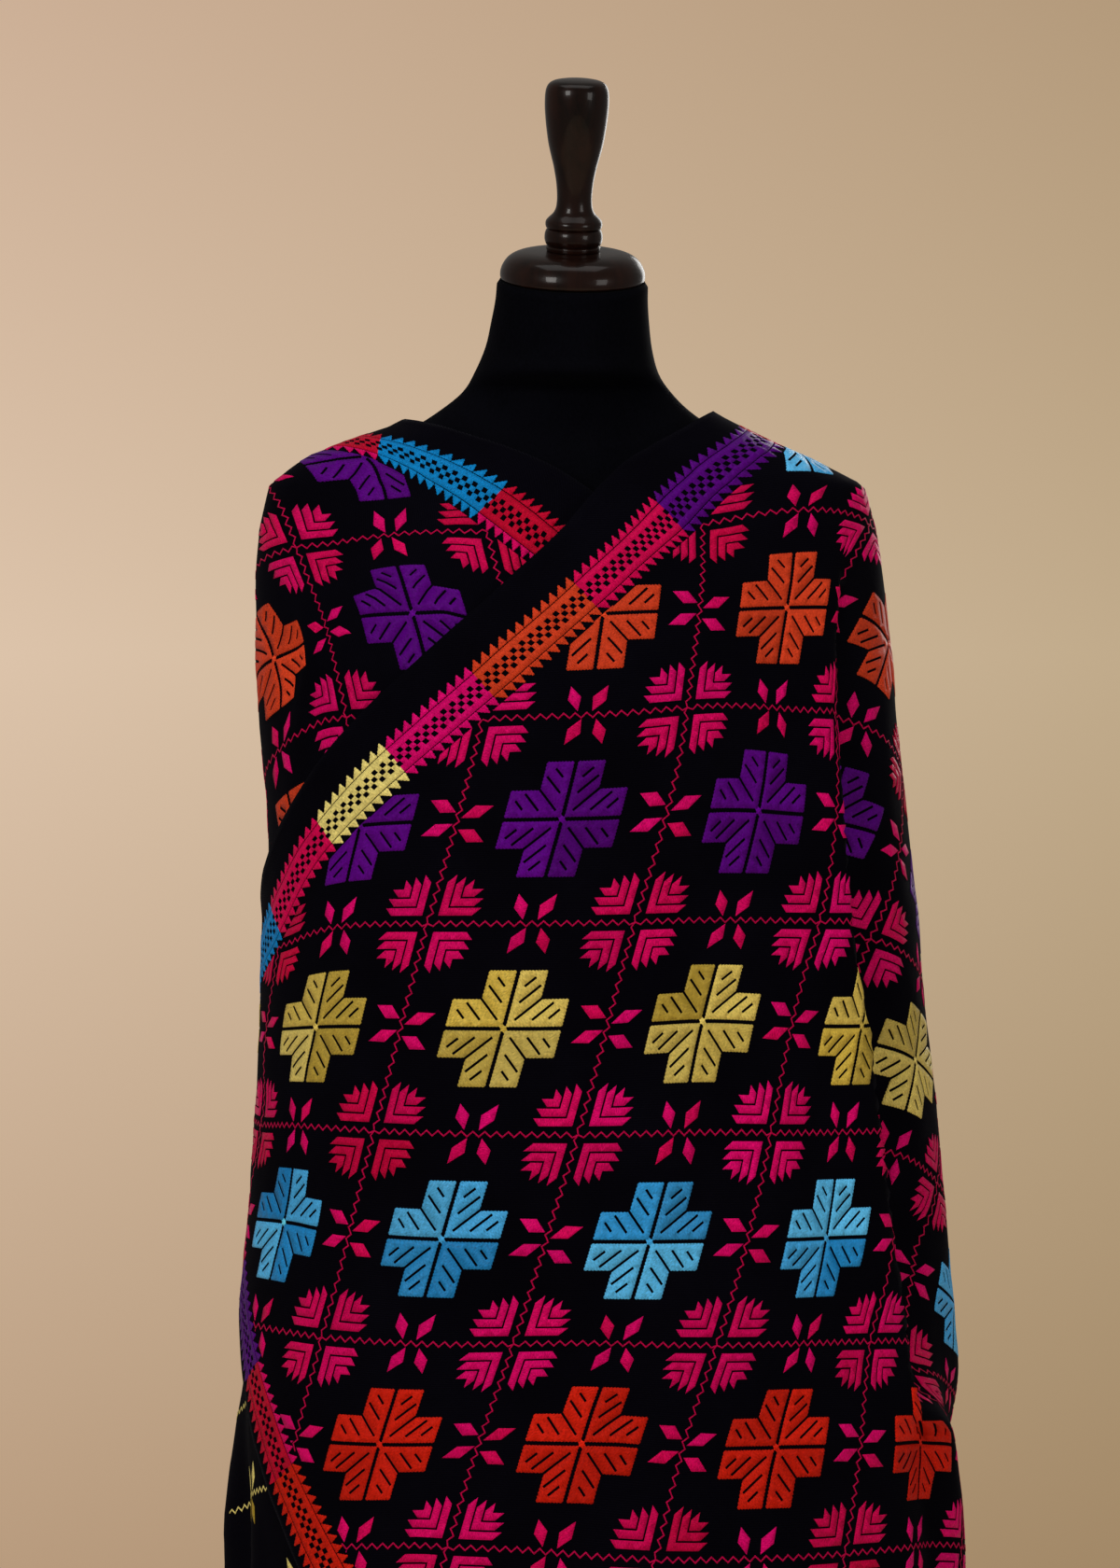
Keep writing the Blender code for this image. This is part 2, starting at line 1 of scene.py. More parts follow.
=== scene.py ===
"""Looks for the phulkari shawl on its dress form.

The drape below is the same rule that the CAD walls follow: a point (u, v) of the flat
shawl goes to its place on the body. Here it is read on a finer grid, with soft creases,
and every stitched motif is charted flat and laid on the cloth through the same rule.
"""

import math

import bpy
import numpy as np
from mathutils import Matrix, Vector
from mathutils.geometry import delaunay_2d_cdt


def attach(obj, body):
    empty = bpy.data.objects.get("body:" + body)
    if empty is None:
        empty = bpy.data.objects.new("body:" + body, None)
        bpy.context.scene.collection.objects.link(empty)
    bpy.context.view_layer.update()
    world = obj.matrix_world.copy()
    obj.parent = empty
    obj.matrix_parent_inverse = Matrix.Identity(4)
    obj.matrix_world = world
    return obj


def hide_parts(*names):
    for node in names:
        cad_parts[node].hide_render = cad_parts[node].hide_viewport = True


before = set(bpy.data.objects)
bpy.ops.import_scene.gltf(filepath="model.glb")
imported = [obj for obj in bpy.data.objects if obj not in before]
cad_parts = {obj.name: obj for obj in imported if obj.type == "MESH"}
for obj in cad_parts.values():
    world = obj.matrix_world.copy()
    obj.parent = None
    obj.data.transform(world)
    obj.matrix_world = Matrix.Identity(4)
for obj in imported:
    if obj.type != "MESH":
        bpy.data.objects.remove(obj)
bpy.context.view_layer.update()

SCENE = bpy.context.scene


# ================================================================ the drape, as the CAD walls have it

# ---------------------------------------------------------------- sizes
SHAWL_LENGTH = 2.050
START_U = 0.022  # the right-hand end, from which the pattern's own length is measured
SHAWL_WIDTH = 1.000
EDGE_U = 0.840  # where the front stretch ends and the back stretch begins
EDGE_U2 = 1.240  # where the back stretch ends and the under stretch begins
PIVOT_R = (0.840, 0.120)  # the point of the cloth on each shoulder's tip
PIVOT_L = (1.240, 0.115)
NECK_R_U, NECK_L_U = 0.815, 1.310  # where the edge v = 0 crosses each shoulder's ridge
SLANT_R = math.radians(37.3)  # how far the length leans, in front, on each side
SLANT_L = math.radians(35.0)
TIP_Z = 1.347  # height of the shoulder tips
TIP_NECK_Z = 1.383  # height of the ridge beside the neck
LAYER = 0.0060  # from one layer of cloth to the next
HANG_Z = 1.031  # a level where the cloth hangs free of the chest
HANG_H = 0.319  # the drop from a shoulder tip to that level

# Rings of the draped cloth: half-widths at +X and -X, the depth of the front, side and back
RING = np.array([
    # z      right   left    front    side     back
    [0.000, 0.281, 0.252, -0.196, -0.004, 0.224],
    [0.200, 0.281, 0.247, -0.193, -0.004, 0.212],
    [0.400, 0.276, 0.238, -0.186, -0.003, 0.184],
    [0.568, 0.270, 0.229, -0.178, -0.002, 0.160],
    [0.670, 0.268, 0.230, -0.172, 0.000, 0.148],
    [0.753, 0.261, 0.228, -0.168, 0.000, 0.138],
    [0.810, 0.259, 0.223, -0.165, 0.000, 0.132],
    [0.896, 0.255, 0.217, -0.163, 0.000, 0.124],
    [0.951, 0.250, 0.214, -0.162, 0.000, 0.119],
    [1.030, 0.243, 0.212, -0.162, 0.000, 0.114],
    [1.109, 0.234, 0.215, -0.163, -0.002, 0.109],
    [1.169, 0.228, 0.220, -0.162, -0.005, 0.106],
    [1.206, 0.225, 0.222, -0.160, -0.009, 0.103],
    [1.256, 0.219, 0.222, -0.151, -0.015, 0.107],
    [1.301, 0.212, 0.219, -0.136, -0.024, 0.094],
    [1.330, 0.203, 0.211, -0.123, -0.032, 0.080],
    [1.347, 0.172, 0.192, -0.114, -0.037, 0.068],
    [1.360, 0.138, 0.160, -0.106, -0.039, 0.056],
    [1.371, 0.113, 0.128, -0.099, -0.040, 0.044],
    [1.383, 0.087, 0.100, -0.092, -0.040, 0.032],
    [1.420, 0.060, 0.064, -0.085, -0.038, 0.020],
])
ROUND = 2.2  # power of the rings' superellipse

# Where the fall lines of the over stretch hang: the arc along the ring, from the front's middle,
# of the lines 300 mm left of the reference line, on it, 110 mm right of it and at the shoulder's fan
HANG_RIGHT = np.array([
    # z      left    middle  right  fan
    [0.000, -0.258, 0.020, 0.124, 0.232],
    [0.568, -0.258, 0.022, 0.126, 0.232],
    [0.670, -0.253, 0.026, 0.129, 0.231],
    [0.753, -0.246, 0.033, 0.134, 0.228],
    [0.820, -0.244, 0.035, 0.136, 0.224],
    [0.896, -0.242, 0.040, 0.137, 0.214],
    [0.960, -0.241, 0.042, 0.137, 0.210],
    [1.030, -0.240, 0.042, 0.138, 0.203],
    [1.100, -0.238, 0.045, 0.141, 0.196],
    [1.170, -0.238, 0.044, 0.134, 0.200],
    [1.245, -0.240, 0.035, 0.132, 0.203],
    [1.301, -0.250, 0.029, 0.121, 0.206],
    [1.330, -0.270, 0.006, 0.114, 0.208],
    [1.347, -0.300, -0.014, 0.102, 0.203],
    [1.383, -0.340, -0.022, 0.099, 0.205],
    [1.420, -0.340, -0.024, 0.097, 0.205],
])
HANG_S = (-0.300, 0.0, 0.110, 0.2125)
# The same for the under stretch, with one straight rate: metres of ring to a metre of cloth
HANG_LEFT = np.array([
    # z      start    per_metre
    [0.000, -0.222, 0.935],
    [1.200, -0.218, 0.940],
    [1.300, -0.220, 0.950],
    [1.330, -0.212, 0.980],
    [1.347, -0.204, 1.020],
    [1.383, -0.250, 1.040],
    [1.420, -0.250, 1.040],
])
# Round the sides and back: metres of ring to a metre of cloth, to the right and left of the middle
BACK_RATE = np.array([
    # z      right   left
    [0.000, 0.960, 0.960],
    [0.810, 0.980, 0.960],
    [0.950, 1.000, 1.000],
    [1.030, 1.030, 1.040],
    [1.100, 1.060, 1.040],
    [1.170, 1.160, 1.080],
    [1.300, 1.180, 1.100],
])
EDGE_SAG = 0.016  # how far the crossing edge hangs below the plumb cloth

# Main folds that fall from the shoulder tips: the side, how far round its fan (0 front, 1 back),
# the width as a share of the fan, the height of the crest and the drop where it starts
FAN_FOLDS = [
    # side  place  width  crest   start
    ("R", 0.05, 0.070, 0.003, 0.20),
    ("R", 0.26, 0.110, 0.012, 0.30),
    ("R", 0.68, 0.130, 0.020, 0.34),
    ("R", 0.96, 0.100, 0.014, 0.26),
    ("L", 0.12, 0.080, 0.022, 0.24),
    ("L", 0.38, 0.105, 0.028, 0.30),
    ("L", 0.66, 0.100, 0.024, 0.34),
    ("L", 0.92, 0.085, 0.016, 0.24),
]
# Soft folds that hang down the front and back: the place along the ring, width, crest and top
HANG_FOLDS = [
    # place  width  crest   top
    (-0.085, 0.045, 0.004, 1.12),
    (0.030, 0.050, 0.003, 1.05),
    (0.150, 0.040, 0.005, 1.02),
    (0.470, 0.030, 0.009, 1.20),
    (0.560, 0.034, 0.007, 1.12),
    (0.655, 0.030, 0.009, 1.16),
]


def smooth(x, a, b):
    t = np.clip((np.asarray(x, float) - a) / (b - a), 0.0, 1.0)
    return t * t * (3.0 - 2.0 * t)


def column(table, z, i):
    return np.interp(z, table[:, 0], table[:, i])


# ---------------------------------------------------------------- rings
LEVELS = np.linspace(0.0, 1.42, 143)
ANGLES = np.radians(np.linspace(-90.0, 270.0, 721))


def ring_points(z):
    """Points of the ring at height z, from the front's middle round by +X."""
    right, left, front, side, back = (float(column(RING, z, i)) for i in range(1, 6))
    c, s = np.cos(ANGLES), np.sin(ANGLES)
    power = 2.0 / ROUND
    wide = np.where(c >= 0.0, right, left)
    deep = np.where(s >= 0.0, back - side, side - front)
    return wide * np.sign(c) * np.abs(c) ** power, side + deep * np.sign(s) * np.abs(s) ** power


class Rings:
    """Every level's ring, measured along its arc."""

    def __init__(self):
        self.arc, self.x, self.y = [], [], []
        for z in LEVELS:
            x, y = ring_points(z)
            arc = np.r_[0.0, np.cumsum(np.hypot(np.diff(x), np.diff(y)))]
            self.arc.append(arc)
            self.x.append(x)
            self.y.append(y)
        self.arc = np.array(self.arc)
        self.total = self.arc[:, -1]
        self.right = self.arc[:, 180]  # front's middle to the +X side
        self.half = self.arc[:, 360]  # to the back's middle
        self.left = self.arc[:, 540]  # to the -X side

    def at(self, name, z):
        return np.interp(z, LEVELS, getattr(self, name))

    def place(self, arc, z):
        """The point at an arc from the front's middle, at height z."""
        arc, z = np.broadcast_arrays(np.asarray(arc, float), np.asarray(z, float))
        k = np.clip((z - LEVELS[0]) / (LEVELS[1] - LEVELS[0]), 0, len(LEVELS) - 1.001)
        k0 = k.astype(int)
        t = k - k0
        share = arc / self.at("total", z)
        out = []
        for j in (0, 1):
            x, y = np.empty(arc.shape), np.empty(arc.shape)
            for level in np.unique(k0 + j):
                m = (k0 + j) == level
                a = np.mod(share[m] * self.total[level], self.total[level])
                x[m] = np.interp(a, self.arc[level], self.x[level])
                y[m] = np.interp(a, self.arc[level], self.y[level])
            out.append((x, y))
        return (
            out[0][0] * (1 - t) + out[1][0] * t,
            out[0][1] * (1 - t) + out[1][1] * t,
        )


RINGS = Rings()


def drop_table():
    """Height against length of cloth, down a fall line on the chest."""
    z = np.linspace(1.42, 0.0, 285)
    arc = 0.10 + 0.0 * z
    x, y = RINGS.place(arc, z)
    length = np.r_[0.0, np.cumsum(np.sqrt(np.diff(x) ** 2 + np.diff(y) ** 2 + np.diff(z) ** 2))]
    return z, length - np.interp(-HANG_Z, -z, length)


def across_right(s, z):
    """Arc along the ring of the over stretch's fall line s, at height z."""
    s, z = np.broadcast_arrays(np.asarray(s, float), np.asarray(z, float))
    at = [column(HANG_RIGHT, z, i) for i in range(1, 5)]
    k = HANG_S
    out = at[1] + (at[2] - at[1]) * (s / k[2])
    out = np.where(s < 0.0, at[1] + (at[0] - at[1]) * (s / k[0]), out)
    far = at[2] + (at[3] - at[2]) * (s - k[2]) / (k[3] - k[2])
    return np.where(s > k[2], far, out)


def across_left(s, z):
    return RINGS.at("total", z) + column(HANG_LEFT, z, 1) + column(HANG_LEFT, z, 2) * s


DROP_Z, DROP_H = drop_table()


def height(drop):
    """Height of cloth this far below the hang level along its fall line."""
    return np.interp(drop, DROP_H, DROP_Z)


# ---------------------------------------------------------------- the drape
def right_front(u, v):
    """How far across and down a point of the over stretch lies."""
    du, dv = u - PIVOT_R[0], v - PIVOT_R[1]
    c, s = math.cos(SLANT_R), math.sin(SLANT_R)
    return 0.2125 + du * c + dv * s, -HANG_H - du * s + dv * c


def left_front(u, v):
    du, dv = u - PIVOT_L[0], v - PIVOT_L[1]
    c, s = math.cos(SLANT_L), math.sin(SLANT_L)
    return du * c - dv * s, -HANG_H + du * s + dv * c


def back_sheet(u, v):
    """Arc and height of the back's cloth, which dips behind the neck."""
    neck = np.clip(v / 0.12, 0.0, 1.0)
    middle = 1.0625 - 0.0225 * neck + 0.070 * smooth(v, 0.10, 0.45)
    reach = 0.2475 - 0.0475 * neck
    off = np.clip((u - middle) / reach, -1.2, 1.2)
    ridge = np.where(v < 0.12, TIP_NECK_Z - 0.30 * v, TIP_Z - (v - 0.12) * 1.0)
    centre = 1.290 - 0.925 * v
    share = smooth(np.abs(off), 0.0, 1.05)
    z = ridge * share + centre * (1.0 - share)
    quarter = np.where(off < 0, RINGS.at("half", z) - RINGS.at("right", z), RINGS.at("left", z) - RINGS.at("half", z))
    free = smooth(v, 0.10, 0.42)
    rate = np.where(off < 0, column(BACK_RATE, z, 1), column(BACK_RATE, z, 2))
    per = (quarter / reach) * (1.0 - free) + rate * free
    return RINGS.at("half", z) + (u - middle) * per, z


# The deep fold that falls from the right shoulder tip: at each height, the arc of its edge,
# and the cloth (metres across) where it turns under and where it comes out again
FOLD = np.array([
    # z      edge    under   out
    [0.000, 0.3080, 0.3370, 0.3380],
    [0.300, 0.3000, 0.3096, 0.3106],
    [0.585, 0.2860, 0.2833, 0.2843],
    [0.655, 0.2745, 0.2740, 0.2752],
    [0.672, 0.2715, 0.2738, 0.2780],
    [0.688, 0.2610, 0.2730, 0.3060],
    [0.702, 0.2545, 0.2722, 0.3420],
    [0.721, 0.2480, 0.2710, 0.3600],
    [0.755, 0.2430, 0.2640, 0.3560],
    [0.784, 0.2380, 0.2500, 0.3540],
    [0.802, 0.2330, 0.2420, 0.3550],
    [0.820, 0.2295, 0.2378, 0.3440],
    [0.844, 0.2260, 0.2345, 0.3170],
    [0.866, 0.2220, 0.2310, 0.3050],
    [0.950, 0.2110, 0.2174, 0.2840],
    [1.025, 0.1960, 0.1836, 0.2620],
    [1.100, 0.1900, 0.1811, 0.2340],
    [1.170, 0.1880, 0.1924, 0.2260],
    [1.218, 0.1900, 0.1950, 0.2150],
    [1.276, 0.1980, 0.2020, 0.2060],
    [1.310, 0.2060, 0.2120, 0.2125],
    [1.420, 0.2050, 0.2120, 0.2125],
])
FOLD_TUCK = 0.006  # how far in from the edge the cloth comes out


def side_arc(t, z, end, t_end):
    """Arc of the over stretch's cloth t across at height z, with the fold pressed flat."""
    edge, under, out = (column(FOLD, z, i) for i in (1, 2, 3))
    near = column(HANG_RIGHT, z, 3)
    q = np.clip((t - HANG_S[2]) / (under - HANG_S[2]), -1.0, 1.0)
    round_off = 1.0 + 0.35 * smooth(z, 0.90, 1.05)
    front = near + (edge - near) * np.where(q > 0.0, 1.0 - np.maximum(1.0 - q, 0.0) ** round_off, q * round_off)
    inside = edge + 0.001 * (t - under) / np.maximum(out - under, 1e-4)
    x, far = t - out, np.maximum(t_end - out, 0.02)
    mean = (end - edge - 0.001) / far
    first = mean + 0.7 * (1.0 - mean)  # the cloth is truer beside the fold than farther round
    beyond = edge + 0.001 + first * x + (mean - first) * x * x / far
    return np.where(t < under, front, np.where(t < out, inside, beyond))


def right_side(u, v):
    """How far across, how high, where its fan ends and how much of it is fan, for the right side's cloth."""
    s1, h1 = right_front(u, v)
    du, dv = u - PIVOT_R[0], v - PIVOT_R[1]
    rho = np.hypot(du, dv)
    turn = np.arctan2(-du, dv)
    f1 = np.clip((SLANT_R - turn) / SLANT_R, 0.0, 1.0)
    in_fan = (v > PIVOT_R[1]) & (turn < SLANT_R)
    end, zend = back_sheet(np.full_like(u, PIVOT_R[0]), PIVOT_R[1] + rho)
    t = np.where(in_fan, 0.2125 + rho * (SLANT_R - turn), s1)
    zf = height(rho - HANG_H) * (1 - f1) + zend * f1
    z = np.where(in_fan, zf, height(h1))
    return t, z, end, 0.2125 + rho * SLANT_R, rho


def folded(u, v):
    """The same cloth near the fold, truly folded: weight, arc, height, how far out."""
    t, z, end, t_end, rho = right_side(u, v)
    edge, under, out = (column(FOLD, z, i) for i in (1, 2, 3))
    hidden = out - under
    open_by = smooth(hidden, 0.001, 0.050)
    flat = side_arc(t, z, end, t_end)
    p = np.clip((t - under) / np.maximum(hidden, 1e-4), 0.0, 1.0)
    deep = 0.46 * hidden
    tuck = np.minimum(FOLD_TUCK, 0.3 * hidden)
    back = -deep * 0.5 * (1.0 - np.cos(2.0 * math.pi * p)) - tuck * smooth(p, 0.5, 1.0)
    arc = np.where(t < under, flat, np.where(t < out, edge + back, 0.0))
    after = np.maximum(t - out, 0.0)
    arc = np.where(t >= out, flat - tuck * (1.0 - smooth(after, 0.0, 0.045)), arc)
    proud = 0.0065 * (1.0 - smooth(under - t, 0.0, 0.090))
    in_layer = 0.0065 - (0.0065 + 0.0120 * smooth(z, 0.67, 0.84)) * (1.0 - (1.0 - p) ** 2.2)
    behind = -0.0120 * (1.0 - smooth(after, 0.004, 0.070)) * smooth(z, 0.67, 0.84)
    lift = np.where(t < under, proud, np.where(t < out, in_layer, behind)) * open_by
    # below, where it has closed, a soft valley stays
    lift = lift - 0.006 * np.exp(-(((t - under) / 0.022) ** 2)) * (1.0 - smooth(hidden, 0.002, 0.03)) * (1.0 - smooth(z, 0.62, 0.80))
    reach = smooth(t, under - 0.075, under - 0.020) * (1.0 - smooth(t, out + 0.020, out + 0.085))
    weight = reach * (v > 0.135) * smooth(rho, 0.035, 0.085) * (u < 0.86)
    return weight, arc, z, lift


def drape_raw(u, v):
    """Arc (unwrapped) and height for every point of the cloth."""
    s1, h1 = right_front(u, v)
    s2, h2 = left_front(u, v)
    # over stretch
    sag = EDGE_SAG * np.exp(-np.maximum(v, 0.0) / 0.09) * (1.0 - smooth(s1, 0.06, 0.15))
    z1 = height(h1) - sag - 0.016 * smooth(-s1, 0.20, 0.32) * smooth(-h1, -0.16, 0.06)
    t1, _, side_end, side_reach, _ = right_side(u, v)
    a1 = np.where(s1 > HANG_S[2], side_arc(s1, z1, side_end, side_reach), across_right(s1, z1))
    # under stretch
    z2 = height(h2)
    a2 = across_left(s2, z2)
    ab, zb = back_sheet(u, v)
    # fans
    du, dv = u - PIVOT_R[0], v - PIVOT_R[1]
    rho = np.hypot(du, dv)
    turn = np.arctan2(-du, dv)
    f1 = np.clip((SLANT_R - turn) / SLANT_R, 0.0, 1.0)
    zf = height(rho - HANG_H)
    end, zend = back_sheet(np.full_like(u, PIVOT_R[0]), PIVOT_R[1] + rho)
    af = side_arc(0.2125 + rho * (SLANT_R - turn), zf, end, 0.2125 + rho * SLANT_R)
    zf = zf * (1 - f1) + zend * f1
    du, dv = u - PIVOT_L[0], v - PIVOT_L[1]
    rho2 = np.hypot(du, dv)
    turn2 = np.arctan2(du, dv)
    f2 = np.clip((SLANT_L - turn2) / SLANT_L, 0.0, 1.0)
    zg = height(rho2 - HANG_H)
    start = across_left(0.0, zg)
    end, zend = back_sheet(np.full_like(u, PIVOT_L[0]), PIVOT_L[1] + rho2)
    ag = start + (end - start) * f2
    zg = zg * (1 - f2) + zend * f2
    # choose
    ridge_r = NECK_R_U + (PIVOT_R[0] - NECK_R_U) * np.clip(v / PIVOT_R[1], 0, 1)
    ridge_l = NECK_L_U + (PIVOT_L[0] - NECK_L_U) * np.clip(v / PIVOT_L[1], 0, 1)
    in_r = (v > PIVOT_R[1]) & (u < PIVOT_R[0]) & (turn < SLANT_R)
    in_l = (v > PIVOT_L[1]) & (u > PIVOT_L[0]) & (turn2 < SLANT_L)
    arc, z = ab.copy(), zb.copy()
    front_r = (u < ridge_r) & ~in_r
    front_l = (u > ridge_l) & ~in_l
    for mask, (a, b) in ((front_r, (a1, z1)), (in_r, (af, zf)), (front_l, (a2, z2)), (in_l, (ag, zg))):
        arc = np.where(mask, a, arc)
        z = np.where(mask, b, z)
    fan = np.where(in_r, f1, np.where(in_l, f2, -1.0))
    return arc, z


STEP = 0.0125
GRID_U = np.arange(-4, int(SHAWL_LENGTH / STEP) + 6) * STEP
GRID_V = np.arange(-4, int(SHAWL_WIDTH / STEP) + 6) * STEP


def blurred(field, times):
    for _ in range(times):
        for axis in (0, 1):
            pad = [(0, 0), (0, 0)]
            pad[axis] = (1, 1)
            f = np.pad(field, pad, mode="reflect", reflect_type="odd")
            a = np.take(f, range(0, f.shape[axis] - 2), axis)
            b = np.take(f, range(1, f.shape[axis] - 1), axis)
            c = np.take(f, range(2, f.shape[axis]), axis)
            field = 0.25 * a + 0.5 * b + 0.25 * c
    return field


def drape_grid():
    uu, vv = np.meshgrid(GRID_U, GRID_V, indexing="ij")
    arc, z = drape_raw(uu, vv)
    share = arc / RINGS.at("total", z)
    return blurred(share, 8), blurred(z, 8)


SHARE, HEIGHT = drape_grid()


def lookup(field, u, v):
    i = np.clip((u - GRID_U[0]) / STEP, 0, len(GRID_U) - 1.001)
    j = np.clip((v - GRID_V[0]) / STEP, 0, len(GRID_V) - 1.001)
    i0, j0 = i.astype(int), j.astype(int)
    s, t = i - i0, j - j0
    return (
        field[i0, j0] * (1 - s) * (1 - t)
        + field[i0 + 1, j0] * s * (1 - t)
        + field[i0, j0 + 1] * (1 - s) * t
        + field[i0 + 1, j0 + 1] * s * t
    )


def base_point(u, v):
    share, z = lookup(SHARE, u, v), lookup(HEIGHT, u, v)
    x, y = RINGS.place(share * RINGS.at("total", z), z)
    return np.stack([x, y, z], -1)


def bump(x, place, width):
    return np.exp(-(((x - place) / width) ** 2))


def relief(u, v):
    """How far each point stands out of its ring: layers, then folds."""
    share, z = lookup(SHARE, u, v), lookup(HEIGHT, u, v)
    arc = share * RINGS.at("total", z)
    total = RINGS.at("total", z)
    over = (1.0 - smooth(arc, 0.02, 0.20)) * (u < 1.0)
    tuck = smooth(arc - total, -0.04, 0.20) * (u > 1.0)
    out = LAYER * over - 0.028 * tuck
    for side, place, width, crest, start in FAN_FOLDS:
        px, py = PIVOT_R if side == "R" else PIVOT_L
        du = (px - u) if side == "R" else (u - px)
        slant = SLANT_R if side == "R" else SLANT_L
        rho = np.hypot(du, v - py)
        f = (slant - np.arctan2(du, np.maximum(v - py, 1e-6))) / slant
        grow = smooth(rho, start, start + 0.45) * (v > py)
        calm = 1.0
        if side == "L":
            end = np.interp(arc - total, (-0.45, -0.30, -0.24, -0.10), (0.90, 0.73, 0.62, 0.53))
            calm = 1.0 - smooth(z, end - 0.17, end - 0.02) * (1.0 - smooth(z, 1.10, 1.20))
        if side == "R" and place < 0.5:
            calm = 1.0 - smooth(z, 0.58, 0.82)  # the deep fold takes their place above
        out = out + crest * grow * calm * (1.25 * bump(f, place, width) - 0.55 * bump(f, place, 2.0 * width))
    wrapped = arc - np.where(share > 0.75, RINGS.at("total", z), 0.0)
    for place, width, crest, top in HANG_FOLDS:
        out = out + crest * bump(wrapped, place, width) * (1.0 - smooth(z, top - 0.25, top))
    return out


def ring_normal(arc, z):
    e = 0.003
    x1, y1 = RINGS.place(arc + e, z)
    x0, y0 = RINGS.place(arc - e, z)
    x3, y3 = RINGS.place(arc, z + e)
    x2, y2 = RINGS.place(arc, z - e)
    n = np.cross(np.stack([x1 - x0, y1 - y0, 0.0 * x0], -1), np.stack([x3 - x2, y3 - y2, 2 * e + 0.0 * x0], -1))
    return n / np.maximum(np.linalg.norm(n, axis=-1, keepdims=True), 1e-12)


def cloth_point(u, v, lift=0.0):
    """The middle of the cloth at u, v, moved out by lift."""
    u, v = np.asarray(u, float), np.asarray(v, float)
    e = 0.002
    tu = base_point(u + e, v) - base_point(u - e, v)
    tv = base_point(u, v + e) - base_point(u, v - e)
    n = np.cross(tv, tu)
    n /= np.maximum(np.linalg.norm(n, axis=-1, keepdims=True), 1e-12)
    share, z = lookup(SHARE, u, v), lookup(HEIGHT, u, v)
    weight, fold_arc, fold_z, fold_lift = folded(u, v)
    arc = share * RINGS.at("total", z) * (1.0 - weight) + fold_arc * weight
    z = z * (1.0 - weight) + fold_z * weight
    x, y = RINGS.place(arc, z)
    k = smooth(weight, 0.0, 0.4)[..., None]
    n = n * (1.0 - k) + ring_normal(arc, z) * k
    n /= np.maximum(np.linalg.norm(n, axis=-1, keepdims=True), 1e-12)
    return np.stack([x, y, z], -1) + n * (relief(u, v) + fold_lift * weight + lift)[..., None]


# ================================================================ the cloth
END = (0.022, 2.072)  # the cloth's two short edges, along u
SIDE = (0.000, 1.000)  # its two long edges, along v
CELL_U, CELL_V = 0.1165, 0.0905  # half of the lattice's repeat along and across the shawl
LATTICE_U = 0.064 + 5.55 * CELL_U  # a lattice point, at c = r = 0
LATTICE_V = 0.064
FINE_U, FINE_V = CELL_U / 16, CELL_V / 14  # the cloth's mesh

# Where handling has pulled the pattern along the cloth: the place, how far, and the reach
PULLED = [
    # u      v      du       dv      reach
    (1.410, 0.245, -0.0150, -0.0170, 0.075),
    (1.410, 0.154, -0.0100, -0.0150, 0.060),
    (1.293, 0.245, 0.0260, -0.0150, 0.055),
    (1.293, 0.080, 0.0120, -0.0060, 0.050),
    (0.245, 0.064, 0.0020, 0.0100, 0.045),
    (0.128, 0.154, 0.0150, 0.0150, 0.050),
    (0.128, 0.245, 0.0100, 0.0030, 0.050),
    (0.128, 0.516, 0.0060, -0.0070, 0.080),
    (0.245, 0.516, 0.0030, -0.0080, 0.080),
    (0.478, 0.335, 0.0010, -0.0060, 0.070),
    (0.594, 0.200, 0.0080, -0.0030, 0.060),
    (0.361, 0.607, -0.0040, -0.0080, 0.070),
    (0.711, 0.064, -0.0080, 0.0030, 0.045),
]


def pulled(u, v):
    du, dv, w = np.zeros(np.shape(u)), np.zeros(np.shape(u)), np.zeros(np.shape(u))
    for pu, pv, su, sv, reach in PULLED:
        k = np.exp(-(((u - pu) ** 2 + (v - pv) ** 2) / reach**2))
        du, dv, w = du + su * k, dv + sv * k, w + k
    w = np.maximum(w, 1.0)
    edge = smooth(v, 0.0, 0.06) * smooth(1.0 - v, 0.0, 0.06)
    return u + du / w * edge, v + dv / w * edge


# Soft troughs and ridges: from (u, v) to (u, v), the half-width, and the depth at the middle
CREASES = [
    # u0     v0     u1     v1    width   depth
    (0.700, 0.070, 0.540, 0.300, 0.016, -0.0022),
    (0.640, 0.060, 0.430, 0.330, 0.022, 0.0020),
    (0.560, 0.050, 0.330, 0.360, 0.020, -0.0020),
    (0.780, 0.130, 0.560, 0.420, 0.018, 0.0026),
    (0.520, 0.300, 0.240, 0.640, 0.026, -0.0026),
    (0.420, 0.260, 0.160, 0.560, 0.024, 0.0022),
    (0.610, 0.420, 0.330, 0.800, 0.030, 0.0032),
    (0.350, 0.120, 0.120, 0.400, 0.018, -0.0018),
    (0.300, 0.560, 0.090, 0.820, 0.030, 0.0030),
    (0.470, 0.640, 0.200, 0.960, 0.034, -0.0034),
    (1.290, 0.110, 1.430, 0.230, 0.014, -0.0024),
    (1.360, 0.040, 1.470, 0.160, 0.012, 0.0018),
    (1.300, 0.170, 1.400, 0.330, 0.014, 0.0022),
    (0.930, 0.040, 1.150, 0.055, 0.012, -0.0030),
    (0.900, 0.090, 1.180, 0.120, 0.016, 0.0034),
    (0.940, 0.160, 1.130, 0.175, 0.014, -0.0028),
    (0.960, 0.230, 1.020, 0.520, 0.022, 0.0030),
    (1.090, 0.220, 1.060, 0.600, 0.024, -0.0028),
    (1.150, 0.300, 1.170, 0.760, 0.026, 0.0034),
    (0.900, 0.330, 0.910, 0.820, 0.026, -0.0034),
    (1.010, 0.560, 1.000, 0.960, 0.026, 0.0040),
    (1.550, 0.300, 1.800, 0.640, 0.030, 0.0032),
    (1.480, 0.420, 1.700, 0.800, 0.028, -0.0032),
    (1.700, 0.280, 1.930, 0.600, 0.026, -0.0024),
]


